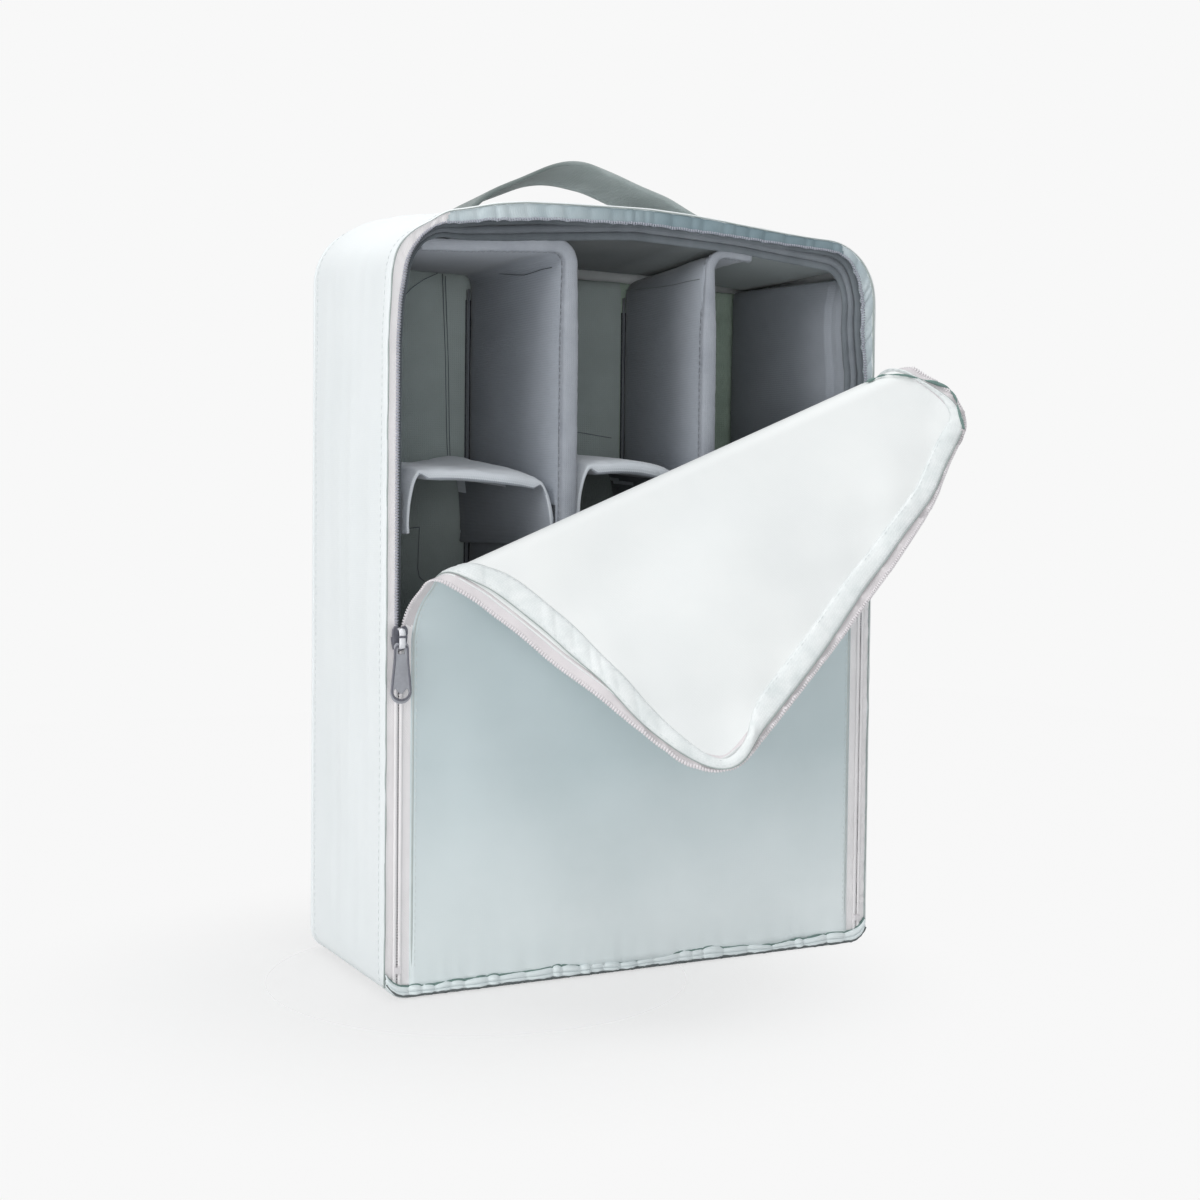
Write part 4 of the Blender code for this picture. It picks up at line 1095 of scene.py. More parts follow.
def along_the_edge(left, top, right):
    """Values along the flap's edge from pairs: by height at the sides, by x on top."""
    rise = edge_at[:EDGE_POINTS // 2, 1]
    shares = along_edge[:EDGE_POINTS // 2]
    on_top = edge_at[:, 1] > 0.345
    places = [np.interp(z, rise, shares) for z, _ in left]
    places += [np.interp(x, edge_at[on_top, 0], along_edge[on_top]) for x, _ in top]
    places += [1 - np.interp(z, rise, shares) for z, _ in right]
    values = [value for _, value in (*left, *top, *right)]
    return smoothed(np.interp(along_edge, places, values))


def flap_points(inset):
    """The flap's edge at an inset that may change along it."""
    outer, inner = [even(mouth_line(at), EDGE_POINTS) for at in (OUTER_LINE, INNER_LINE)]
    share = ((np.broadcast_to(inset, EDGE_POINTS) - OUTER_LINE) / (INNER_LINE - OUTER_LINE))[:, None]
    return outer * (1 - share) + inner * share


# Insets of the binding's outer and inner edge: wide along the left, pinched at the tip of
# the flap, narrow along the right
binding_out = along_the_edge(
    [(0.0, 0.0136), (0.21, 0.0140), (0.24, 0.0172), (0.27, 0.0172), (0.30, 0.0152),
     (0.315, 0.0124), (0.330, 0.0104), (0.345, 0.0112)],
    [(-0.1268, 0.0100), (-0.122, 0.0080), (-0.110, 0.0082), (-0.100, 0.0104), (-0.05, 0.0104),
     (0.0, 0.0122), (0.04, 0.0118), (0.078, 0.0094), (0.110, 0.0090), (0.126, 0.0110)],
    [(0.345, 0.0132), (0.20, 0.0136), (0.0, 0.0136)])
binding_in = along_the_edge(
    [(0.0, 0.0200), (0.215, 0.0220), (0.250, 0.0290), (0.289, 0.0290), (0.306, 0.0256),
     (0.320, 0.0240), (0.333, 0.0208), (0.345, 0.0186)],
    [(-0.1268, 0.0165), (-0.122, 0.0130), (-0.110, 0.0128), (-0.100, 0.0140), (-0.094, 0.0188),
     (-0.080, 0.0198), (-0.05, 0.0198), (0.0, 0.0200), (0.03, 0.0194), (0.075, 0.0176),
     (0.105, 0.0176), (0.118, 0.0165), (0.126, 0.0140)],
    [(0.345, 0.0146), (0.20, 0.0150), (0.0, 0.0150)])
waist = np.exp(-((edge_at[:, 0] + 0.103) / 0.005) ** 2) * (edge_at[:, 1] > 0.35)

# %% Tape, binding and grooves of the flap
far_corner = np.exp(-((edge_at[:, 0] - 0.118) / 0.022) ** 2) * smoothstep(edge_at[:, 1], 0.320, 0.345)
tape_lines = []
for share in np.linspace(0, 1, 6):
    inset = FLAP_TAPE_OUT + (FLAP_TAPE_IN - FLAP_TAPE_OUT) * share
    inset = inset - far_corner * (1 - share) * 0.0018 * (ruffle - 0.3)
    lift = 0.0004 + loose * (1 - share) * (0.0020 + 0.0030 * far_corner) * (ruffle - 0.5) - 0.0006 * share
    tape_lines.append(fold_line(flap_points(inset), lift)[0])
flap_tape = strip("flap_tape", tape_lines, zip_tape, TAPE_WALL)
part_of(flap_tape, folded_tape, lambda face: face.center.z > slider_top or face.center.y < zip_y - 0.006)

binding_lines = []
for share in np.linspace(0, 1, 9):
    inset = binding_out + (binding_in - binding_out) * share
    puffed = math.sin(math.pi * share) ** 0.5
    lift = -0.0007 + 0.0003 * share ** 2 - puffed * (0.0004 + 0.0008 * ruffle + 0.0030 * waist)
    binding_lines.append(fold_line(flap_points(inset), lift)[0])
flap_binding = strip("flap_binding", binding_lines, seam_binding, BINDING_WALL)
# The groove beside the seam and the gap at the binding's edge are cords painted in the shade that falls in
# them
seam_line = fold_line(flap_points(FLAP_EDGE_INSET), 0.0001)
flap_groove = welt("flap_groove", seam_line[0], 0.00075, groove_shade, seam_line[1], flatten=0.6)
gap_line = fold_line(flap_points(binding_out - 0.0002), -0.0009)
join(flap_groove, welt("flap_gap", gap_line[0], 0.00024, edge_shade, gap_line[1]))
# At the far corner the cloth is puckered along a line from the right edge to the top
PUCKER = [(0.1055, 0.3125), (0.1165, 0.3175), (0.1241, 0.3289), (0.1299, 0.3425),
          (0.1320, 0.3503), (0.1275, 0.3571), (0.1190, 0.3627), (0.1138, 0.3686)]
along_pucker = np.linspace(0, 0.09, 90)
pucker_line = eased(even(PUCKER, len(along_pucker)), 6)
pucker_place, pucker_facing = fold_line(pucker_line, -0.0012 - 0.0004 * gathers(along_pucker, 0.008, 44))
pucker_radius = 0.00008 + 0.00100 * gathers(along_pucker, 0.016, 43) ** 2
join(flap_groove, welt("flap_pucker", pucker_place, pucker_radius[:, None], pucker_shade, pucker_facing))
print("edge of the flap", round(edge_length, 3), "m")

# %% Coil and stitches of the flap
# The two halves of the coil mesh below the sliders, and lie a little apart above them
MESHED, APART = 0.0077, 0.0082
slider_foot = {side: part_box("slider_" + side)[0].z for side in ("left", "right")}
coil_inset = along_the_edge(
    [(0.0, MESHED), (slider_foot["left"] + 0.001, MESHED), (slider_foot["left"] + 0.006, APART)],
    [(0.0, APART)],
    [(slider_foot["right"] + 0.006, APART), (slider_foot["right"] + 0.001, MESHED), (0.0, MESHED)])
line, facing = fold_line(flap_points(coil_inset), 0.0002 + loose * 0.0018 * (ruffle - 0.5))
flap_coil = repeat_along("flap_coil_teeth", [line], [facing], tooth_tree,
                         FLAP_TOOTH, pale_coil, TOOTH_UNEVENNESS)
stitch_lines, stitch_facings = zip(*[fold_line(flap_points(inset), lift) for inset, lift in (
    (PANEL_STITCH_INSET, 0.0006), (binding_out + 0.0012, -0.0015), (binding_in - 0.0010, -0.0012))])
flap_stitches = repeat_along("flap_stitches", stitch_lines, stitch_facings, stitch_tree,
                             FLAP_STITCH, sewing_thread)
print("teeth on the flap", len(flap_coil.data.polygons) // 9)

# %% [markdown]
# ## The case side of the zip
# The other half of the zip is sewn into the mouth of the cover. Along the top it is
# gathered, so it shows as a ruffled band in a cooler colour. Where the zip is closed, the
# two tapes meet and hide the teeth.
# A facing of the lining cloth joins it to the padded edge behind.

# %% Tape, teeth and facing of the case
MOUTH_POINTS = 820
FACING_WALL, TAPE_EDGE_WALL = 0.0005, 0.0003
along_mouth = np.linspace(0, 1, MOUTH_POINTS)
mouth_length = np.linalg.norm(np.diff(mouth_line(0.005, 0), axis=0), axis=1).sum()
pucker = gathers(along_mouth * mouth_length, 0.0085, 14)
top_part = smoothstep(along_mouth, 0.33, 0.40)


def mouth_points(inset, drop):
    """The line round the mouth as evenly spaced points."""
    return even(mouth_line(inset, drop), MOUTH_POINTS)


CASE_TAPE_OUT, CASE_TAPE_IN = 0.0008, 0.0064
tape_rows = []
for share in np.linspace(0, 1, 9):
    line = mouth_points(CASE_TAPE_OUT + (CASE_TAPE_IN - CASE_TAPE_OUT) * share, TOP_DROP * share)
    wobble = top_part * (pucker - 0.45) * math.sin(math.pi * (0.15 + 0.7 * share))
    line = line + outward(line) * (top_part * 0.0008 * (pucker - 0.5) * share)[:, None]
    tape_rows.append(at_depth(line, zip_y + 0.0004 - 0.0017 * wobble))
case_tape = strip("case_tape_band", tape_rows, zip_tape, TAPE_WALL, flip=True)
part_of(case_tape, top_tape, lambda face: face.center.z > 0.36 and face.center.x > -0.113)
part_of(case_tape, mouth_tape, lambda face: face.center.x > 0.118 and face.center.z > slider_top + 0.06)
coil_line = mouth_points(0.0058, TOP_DROP)
coil_line = coil_line + outward(coil_line) * (top_part * 0.0008 * (pucker - 0.5))[:, None]
case_coil = repeat_along("case_coil_teeth", [at_depth(coil_line, zip_y - 0.0003)], [OUT_FRONT], tooth_tree,
                         CASE_TOOTH, nylon_coil, TOOTH_UNEVENNESS)
part_of(case_coil, pale_coil, lambda face: face.center.z < slider_top - 0.006)
facing_rows = [at_depth(mouth_points(inset, TOP_DROP * share), y) for inset, share, y in (
    (0.0010, 0.0, zip_y + 0.0014), (0.0022, 0.2, -0.0528), (0.0060, 1.0, -0.0521),
    (0.0068, 1.0, -0.0512), (0.0076, 1.0, -0.0498))]
mouth_facing = strip("mouth_facing", facing_rows, mouth_knit, FACING_WALL, flip=True)
part_of(mouth_facing, zip_tape, lambda face: face.center.z < slider_top - 0.004)
# Where the zip is closed, the edges of its two tapes meet over the teeth
tape_edges = []
for side, sign in (("left", -1), ("right", 1)):
    heights = np.linspace(ZIP_FOOT, slider_foot[side] + 0.002, 40)
    for insets in ((0.0047, 0.00655), (0.00725, 0.0092)):
        upright = [np.column_stack([np.full(40, sign * (half_width - inset)), heights]) for inset in insets]
        lines = [at_depth(line, zip_y - 0.0010) for line in upright]
        tape_edges.append(strip("tape_edge", lines, zip_tape, TAPE_EDGE_WALL))
join(mouth_facing, *tape_edges)
# The line between the cover and the tape is a cord painted in the shade of that seam
seam_rows = mouth_points(0.0009, 0)
seam_rows = seam_rows + outward(seam_rows) * (0.0002 * ripple(seam_rows, 0.030, 61))[:, None]
tape_seam = welt("tape_seam", at_depth(seam_rows, zip_y - 0.0003), 0.00045, edge_shade, OUT_FRONT)
let_sag(case_tape, case_coil, mouth_facing, tape_seam)
print("case tape", len(case_tape.data.polygons), "faces")

# %% [markdown]
# ## Padded pieces
# Walls, dividers and shelves are foam in a brushed knit. Each is lofted: a flat ring with
# fully round edges is swept along the middle of the piece, through any bend. Then a short
# cloth simulation with a little pressure swells the cover as the foam does, and the
# movement is capped, so that the piece keeps its place between its neighbours.


# %% Loft and swelling of a pad
def ring_shares(flats, ends):
    """Points round a flat ring: how far across, how far round each end, and up or down."""
    across = np.linspace(-1, 1, flats)
    turn = np.linspace(math.pi / 2, -math.pi / 2, ends + 2)[1:-1]
    corner = [(math.cos(a) ** 0.75, math.copysign(abs(math.sin(a)) ** 0.75, math.sin(a))) for a in turn]
    ring = [(w, 0.0, 1.0) for w in across]
    ring += [(1.0, c, s) for c, s in corner]
    ring += [(w, 0.0, -1.0) for w in across[::-1]]
    ring += [(-1.0, -c, s) for c, s in corner[::-1]]
    return np.array(ring)


def loft_pad(name, centres, side, half_across, half_thick, material, flats=22, ends=5):
    """A padded strip along a line of centres; side is the direction across it."""
    centres = np.asarray(centres, float)
    along = frames_along(centres)
    side = np.asarray(side, float)
    up = np.cross(along, side)
    half_thick = np.broadcast_to(np.asarray(half_thick, float), len(centres))
    stations = []
    for end, sign in ((0, -1), (-1, 1)):
        caps = []
        thick = half_thick[end]
        for a in np.radians((80, 55, 28)):
            place = centres[end] - sign * along[end] * thick * (1 - math.sin(a))
            narrowed = half_across - thick * (1 - math.cos(a))
            caps.append((place, up[end], thick * max(0.12, math.cos(a)), narrowed))
        stations.append(caps)
    inside = [(c, u, t, half_across) for c, u, t in zip(centres, up, half_thick)]
    reach = np.linalg.norm(centres - centres[0], axis=1)
    left = np.linalg.norm(centres - centres[-1], axis=1)
    inside = [s for s, a, b in zip(inside, reach, left) if a > half_thick[0] and b > half_thick[-1]]
    ring = ring_shares(flats, ends)
    rows = []
    for place, above, thick, across in stations[0] + inside + stations[1][::-1]:
        sideways = ring[:, 0] * (across - thick) + ring[:, 1] * thick
        rows.append(place + sideways[:, None] * side + (ring[:, 2] * thick)[:, None] * above)
    return mend(surface(name, np.array(rows), material, wrap=True), weld=False)


def swell(pad, cap, pressure=4.0, frames=20):
    """A short cloth simulation under pressure, with the movement of each point capped."""
    scene = bpy.context.scene
    rest = coords(pad)
    cloth = pad.modifiers.new("swell", "CLOTH")
    cloth.settings.use_pressure = True
    cloth.settings.uniform_pressure_force = pressure
    cloth.settings.effector_weights.gravity = 0
    cloth.settings.quality = 4
    cloth.point_cache.frame_start = 1
    cloth.point_cache.frame_end = frames
    for step in range(1, frames + 1):
        scene.frame_set(step)
    evaluated = pad.evaluated_get(bpy.context.evaluated_depsgraph_get())
    moved = np.array([v.co for v in evaluated.data.vertices], float)
    pad.modifiers.clear()
    scene.frame_set(1)
    shift = moved - rest
    length = np.linalg.norm(shift, axis=1)
    shift *= (np.minimum(length, cap) / np.maximum(length, 1e-9))[:, None]
    set_coords(pad, rest + shift)


def unevenness(pad, amount, size, seed):
    """Small dents, as foam under a knit has."""
    points = coords(pad)
    normals = np.zeros(len(points) * 3, np.float32)
    pad.data.vertices.foreach_get("normal", normals)
    normals = normals.reshape(-1, 3)
    set_coords(pad, points + normals * (amount * ripple(points, size, seed))[:, None])


def between(start, end, step=0.005):
    """Points from start to end, about one step apart."""
    start, end = np.array(start, float), np.array(end, float)
    count = max(4, int(np.linalg.norm(end - start) / step) + 1)
    return np.linspace(start, end, count)


# %% Walls, ceiling, floor and back
WALL_PAD = 0.0056
SWELL_CAP = 0.0008
CEILING_CROWN = 0.0030
middle_y = (pad_front + inner_y) / 2
reach_in = WALL_PAD / 2
half_deep = (inner_y - pad_front) / 2 - SWELL_CAP
lift = reach_in + SWELL_CAP
# Each pad's line of centres, its direction across, half its width, its cloth and its columns
wall_low, wall_high = floor_z + 0.001, ceiling_z - 0.001
wall_plans = {
    "wall_left": ((-inner_x - lift, middle_y, wall_low), (-inner_x - lift, middle_y, wall_high),
                  (0, 1, 0), half_deep, brushed_knit, 40),
    "wall_right": ((inner_x + lift, middle_y, wall_low), (inner_x + lift, middle_y, wall_high),
                   (0, 1, 0), half_deep, brushed_knit, 40),
    "ceiling_pad": ((-inner_x, middle_y, ceiling_z + lift), (inner_x, middle_y, ceiling_z + lift),
                    (0, 1, 0), half_deep, ceiling_knit, 30),
    "floor_pad": ((-inner_x, middle_y, floor_z - lift), (inner_x, middle_y, floor_z - lift),
                  (0, 1, 0), half_deep, brushed_knit, 22),
    "back_wall": ((0, inner_y + lift, floor_z), (0, inner_y + lift, ceiling_z),
                  (1, 0, 0), inner_x, back_knit, 60),
}
walls = {name: loft_pad(name, between(start, end), side, half_across, reach_in, material, flats=flats)
         for name, (start, end, side, half_across, material, flats) in wall_plans.items()}
for number, pad in enumerate(walls.values()):
    swell(pad, SWELL_CAP)
    unevenness(pad, 0.0003, 0.035, 40 + number)


def groove(points, face_x, at_y, depth, wide):
    """A pressed line down a wall, at one depth into the bag."""
    near_face = np.abs(points[:, 0] - face_x) < WALL_PAD * 0.45
    return np.where(near_face, depth * np.exp(-((points[:, 1] - at_y) / wide) ** 2), 0)


points = coords(walls["wall_right"])
points[:, 0] += groove(points, inner_x, pad_front + 0.0135, 0.0016, 0.0016)
points[:, 0] -= groove(points, inner_x, pad_front + 0.0170, 0.0008, 0.0018)
points[:, 0] -= wall_slant * smoothstep(points[:, 1], pad_front + 0.004, inner_y + 0.012) ** 0.75
set_coords(walls["wall_right"], points)
part_of(walls["back_wall"], loop_tape, lambda face: face.center.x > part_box("divider_right")[0].x)


def crowned_ceiling(points):
    """The ceiling stands highest in the middle, and what hangs from it goes along."""
    points = np.array(points, float)
    over = smoothstep(points[:, 0], -0.075, 0.0) * (1 - smoothstep(points[:, 0], 0.045, 0.125))
    points[:, 2] += CEILING_CROWN * over * smoothstep(points[:, 2], 0.30, 0.36)
    return points


def let_rise(*things):
    """Moves whole pieces along with the crown of the ceiling and the sagging top."""
    for thing in things:
        set_coords(thing, sag(crowned_ceiling(coords(thing))))


let_rise(walls["ceiling_pad"], walls["wall_left"], walls["wall_right"])
print("walls", {name: len(pad.data.polygons) for name, pad in walls.items()})

# %% [markdown]
# ## Dividers
# A divider is a padded board whose top folds over under the ceiling, where hook tape holds
# it. The left one stands askew: its back edge is further left than its front edge. The
# front edges are bound with ribbon, and the binding's stitches show as a bumpy line.

# %% Shapes of the two dividers
DIVIDER_WALL = 0.007
half = DIVIDER_WALL / 2
LEFT_X, LEFT_SLANT, LEFT_TAB_END, LEFT_TAB_WALL = -0.0402, 0.015, 0.004, 0.00525
RIGHT_X, RIGHT_TAB, RIGHT_TAB_WALL = 0.0401, 0.016, 0.003
BEND = 0.012
divider_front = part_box("divider_right")[0].y
divider_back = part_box("divider_right")[1].y
SLACK = 0.0007


def depth_share(y):
    """0 at the front edge of a divider, 1 at its back edge."""
    return (y - divider_front) / (divider_back - divider_front)


def divider_line(face_x, side, tab_end, tab_wall):
    """The middle line of a divider from its foot, round the bend, to the end of its tab."""
    low, high = floor_z + GAP, ceiling_z - GAP
    upright = between((face_x + side * half, 0, low), (face_x + side * half, 0, high - BEND), 0.006)
    thick = [half] * len(upright)
    angles = np.linspace(0, math.pi / 2, 9)[1:]
    halves = half + (tab_wall / 2 - half) * np.linspace(0, 1, 9)[1:]
    radius = BEND - halves
    centre_x = face_x + side * BEND
    arc_z = high - BEND + radius * np.sin(angles)
    arc = np.column_stack([centre_x - side * radius * np.cos(angles), np.zeros(8), arc_z])
    tab = between(arc[-1], (tab_end, 0, high - tab_wall / 2), 0.005)[1:]
    line = np.vstack([upright, arc, tab])
    return line, np.array(thick + list(halves) + [tab_wall / 2] * len(tab))


def askew(points):
    """Points of the left divider, whose back edge stands further left."""
    shift = LEFT_SLANT * depth_share(points[:, 1]) * (points[:, 0] + inner_x) / (LEFT_X + inner_x)
    return np.column_stack([points[:, 0] - shift, points[:, 1:]])


divider_middle = (divider_front + divider_back) / 2
divider_half = (divider_back - divider_front) / 2
plans = {
    "divider_left": divider_line(LEFT_X + half, -1, -inner_x + LEFT_TAB_END, LEFT_TAB_WALL),
    "divider_right": divider_line(RIGHT_X - half, 1, RIGHT_X - half + RIGHT_TAB + BEND, RIGHT_TAB_WALL),
}
dividers = {}
for number, (name, (line, thick)) in enumerate(plans.items()):
    line = line + (0, divider_middle, 0)
    pad = loft_pad(name + "_pad", line, (0, 1, 0), divider_half - SLACK, thick - SLACK, brushed_knit)
    swell(pad, SLACK)
    unevenness(pad, 0.0003, 0.03, 50 + number)
    dividers[name] = pad
set_coords(dividers["divider_left"], askew(coords(dividers["divider_left"])))
let_rise(*dividers.values())
print("dividers", {name: len(pad.data.polygons) for name, pad in dividers.items()})

# %% Bindings and stitches on the dividers
EDGE_STEPS = 260
RIBBON_WALL = 0.0004
trims = []
for number, (name, (line, thick)) in enumerate(plans.items()):
    path = even(line, EDGE_STEPS) + (0, divider_front + 0.0006, 0)
    depth_of_edge = np.interp(np.linspace(0, 1, EDGE_STEPS), np.linspace(0, 1, len(thick)), thick)
    along = frames_along(path)
    up = np.cross(along, (0.0, 1.0, 0.0))
    bumps = gathers(np.linspace(0, 0.5, EDGE_STEPS), 0.006, 60 + number)
    rows = []
    for a in np.linspace(-100, 100, 9):
        angle = math.radians(a)
        sideways = np.sin(angle) * (depth_of_edge + 0.0002 + 0.0003 * bumps)
        forward = math.cos(angle) * 0.0014 + 0.0002 * bumps
        row = path + up * sideways[:, None]
        row[:, 1] -= forward - 0.0004
        rows.append(row)
    for extra in (0.0022, 0.0038):
        for which, sign in ((0, -1), (-1, 1)):
            row = path + up * (sign * (depth_of_edge + 0.0001 + 0.0002 * bumps))[:, None]
            row[:, 1] += extra
            rows.insert(0, row) if which == 0 else rows.append(row)
    ribbon = strip(name + "_binding", rows, grosgrain, RIBBON_WALL, flip=True)
    lines = []
    for sign in (-1, 1):
        row = path + up * (sign * (depth_of_edge + 0.0005))[:, None]
        row[:, 1] += 0.0030
        lines.append(row)
    threads = repeat_along(name + "_stitches", lines, [-up, up], stitch_tree,
                           LINING_STITCH, lining_thread)
    for trim in (ribbon, threads):
        if name == "divider_left":
            set_coords(trim, askew(coords(trim)))
        let_rise(trim)
        trims.append(trim)
print("trims", [trim.name for trim in trims])

# %% [markdown]
# ## Seams of the lining
# The lining shows where it is joined: a seam and a curved edge on the back wall, and the
# edges of the loop patches under the tops of the dividers. They are drawn as thin cords that
# lie half inside the cloth.

# %% Cords on the back wall and on the dividers
def cords(name, lines, facing, radius, material):
    """Several thin cords as one piece."""
    parts = [welt(name, even(line, 30), radius, material, facing, flatten=0.6) for line in lines]
    return join(*parts) if len(parts) > 1 else parts[0]


def on_left_face(name, places):
    """Points on the left face of a divider from depths and heights."""
    y, z = np.array(places, float).T
    if name == "divider_left":
        x = LEFT_X - half - LEFT_SLANT * depth_share(y)
    else:
        x = np.full(len(y), RIGHT_X - half)
    return np.column_stack([x, y, z])


# The knit of each divider runs on to the back wall and closes the gap behind its back edge
BACK_EDGE = [(0.0385, -0.0002), (0.0405, 0.0002), (0.0425, 0.0008), (inner_y + 0.0004, 0.0012)]
back_edges = []
for name in ("divider_left", "divider_right"):
    rows = [on_left_face(name, [(y, z) for z in np.linspace(floor_z + 0.002, 0.352, 60)]) + (inwards, 0, 0)
            for y, inwards in BACK_EDGE]
    back_edges.append(strip(name + "_back_edge", rows, brushed_knit, RIBBON_WALL))
    let_rise(back_edges[-1])
# Seams on the back wall, as x and z: a double one down it, two curves, and two level edges
BACK_SEAMS = [
    [(-0.0721, 0.3600), (-0.0700, 0.3140), (-0.0691, 0.2766), (-0.0678, 0.2500)],
    [(-0.0705, 0.3590), (-0.0684, 0.3140), (-0.0675, 0.2766), (-0.0664, 0.2500)],
    [(-0.0960, 0.3440), (-0.0897, 0.3510), (-0.0829, 0.3560), (-0.0750, 0.3600)],
    [(-0.0843, 0.2242), (-0.0849, 0.2110), (-0.0851, 0.2020), (-0.0842, 0.1975), (-0.0812, 0.1950)],
    [(-0.0960, 0.2228), (-0.0843, 0.2242)],
    [(-0.0400, 0.2790), (0.0098, 0.2786), (0.0313, 0.2761)]]
# Lower edges of the loop patches under the bent tops, as y and z
PATCH_EDGES = {
    "divider_left": [(0.0415, 0.3600), (0.0250, 0.3588), (0.0099, 0.3570), (-0.0030, 0.3549),
                     (-0.0130, 0.3536), (-0.0200, 0.3540), (-0.0280, 0.3546), (-0.0368, 0.3545)],
    "divider_right": [(0.0380, 0.3590), (0.0213, 0.3575), (0.0020, 0.3560), (-0.0150, 0.3550),
                      (-0.0280, 0.3550), (-0.0430, 0.3545)]}
back_lines = [at_depth(np.array(line), inner_y - 0.0002) for line in BACK_SEAMS]
patch_lines = [on_left_face(name, places) for name, places in PATCH_EDGES.items()]
lining_seams = [cords("back_wall_seams", back_lines, OUT_FRONT, 0.00022, mouth_knit), *back_edges,
                cords("loop_patch_edges", patch_lines, (-1, 0, 0), 0.00020, ceiling_knit)]
print("seams of the lining", [thing.name for thing in lining_seams])

# %% [markdown]
# ## Shelves
# A shelf is a padded board with thin ends that turn down and grip the walls. It is softer
# than the dividers: the middle stands up in a low crown, the back is higher than the front,
# most at the right, and the ends leave the board in a long curve. How far each point of the
# board rises was read from the photograph.

# %% Shelf pads
SHELF_WALL, TAB_DROP, TAB_WALL, SHELF_BEND = 0.0055, 0.030, 0.003, 0.008
SIDE_DROP, TAB_CURVE, FRONT_BACK = 0.0045, 0.024, 0.005
HOOK_CLEAR = 2 * GAP + 0.0008
SHELF_SLACK = 0.0005
shelf_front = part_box("shelf_left")[0].y
shelf_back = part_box("shelf_left")[1].y


def left_divider_at(y):
    """Where the left divider's middle stands at a depth."""
    return LEFT_X - LEFT_SLANT * depth_share(y)


def shelf_line(width):
    """The middle line of a shelf from the foot of one tab to the other, with its thickness."""
    half_tab, half_board = TAB_WALL / 2, SHELF_WALL / 2
    leg = between((half_tab, 0, -TAB_DROP), (half_tab, 0, -SHELF_BEND), 0.004)
    angles = np.linspace(0, math.pi / 2, 8)[1:]
    radius = SHELF_BEND - half_tab
    arc_z = -SHELF_BEND + radius * np.sin(angles)
    arc = np.column_stack([SHELF_BEND - radius * np.cos(angles), np.zeros(7), arc_z])
    board_start = SHELF_BEND + 0.004
    board = between((board_start, 0, -half_board), (width - board_start, 0, -half_board), 0.004)
    tab = np.vstack([leg, arc])
    other_tab = (tab * (-1, 1, 1) + (width, 0, 0))[::-1]
    thick = [half_tab] * len(tab)
    return np.vstack([tab, board, other_tab]), np.array(thick + [half_board] * len(board) + thick)


# Height, crown, rise of the back at the left and at the right, and both sides by depth
shelf_plans = {
    "shelf_left": (0.250, 0.0035, 0.0070, 0.0165,
                   lambda y: np.full_like(y, -inner_x + HOOK_CLEAR),
                   lambda y: left_divider_at(y) - half - HOOK_CLEAR),
    "shelf_middle": (0.2535, 0.0065, 0.0085, 0.0105,
                     lambda y: left_divider_at(y) + half + HOOK_CLEAR,
                     lambda y: np.full_like(y, RIGHT_X - half - HOOK_CLEAR)),
}
shelves = {}
for number, (name, plan) in enumerate(shelf_plans.items()):
    height, crown, lift_left, lift_right, left_at, right_at = plan
    width = float(right_at(shelf_front) - left_at(shelf_front))
    line, thick = shelf_line(width)
    line = line + (0, (shelf_front + shelf_back) / 2, 0)
    half_deep = (shelf_back - shelf_front) / 2 - SHELF_SLACK
    pad = loft_pad(name + "_pad", line, (0, 1, 0), half_deep, thick - SHELF_SLACK, shelf_knit)
    swell(pad, SHELF_SLACK)
    points = coords(pad)
    below = np.clip(-points[:, 2], 0, TAB_CURVE)
    wide_curve, tight_curve = [SHELF_BEND * (1 - np.sqrt(1 - np.clip(1 - below / tall, 0, 1) ** 2))
                               for tall in (TAB_CURVE, SHELF_BEND)]
    inwards = np.clip(wide_curve - tight_curve, 0, None)
    at_ends = [1 - smoothstep(points[:, 0], 0.002, SHELF_BEND + 0.002),
               smoothstep(points[:, 0], width - SHELF_BEND - 0.002, width - 0.002)]
    points[:, 0] += inwards * (at_ends[0] - at_ends[1])
    share = points[:, 0] / width
    deep = np.clip((points[:, 1] - shelf_front) / (shelf_back - shelf_front), 0, 1)
    x = left_at(points[:, 1]) + share * (right_at(points[:, 1]) - left_at(points[:, 1]))
    hill = (4 * np.clip(share * (1 - share), 0, 1)) ** 0.8
    lift = lift_left + (lift_right - lift_left) * smoothstep(share, 0.4, 1.0)
    held = np.clip(1 + points[:, 2] / TAB_DROP, 0, 1)
    z = height + points[:, 2] + (crown * hill + lift * deep ** 0.7) * held - SIDE_DROP * share
    y = points[:, 1] + FRONT_BACK * smoothstep(share, 0.6, 1.0) * (1 - deep)
    set_coords(pad, np.column_stack([x, y, z]))
    unevenness(pad, 0.0003, 0.022, 70 + number)
    middle_x = x.mean()

    def underside(face):
        """Faces that look down, and the faces of the tabs that look at each other."""
        inwards = face.normal.x * (0.5 if face.center.x < middle_x else -0.5) > 0.35
        return face.normal.z < -0.25 or (inwards and face.center.z < height - 0.004)

    # Undersides and the inner faces of the tabs take the darker wall knit: painted shade
    part_of(pad, brushed_knit, underside)
    shelves[name] = pad
print("shelves", {name: len(pad.data.polygons) for name, pad in shelves.items()})

# %% [markdown]
# ## Edge binding of the mouth
# Round the mouth the padded walls are bound with the same ribbon, seen as a rolled grey
# edge just behind the zip.

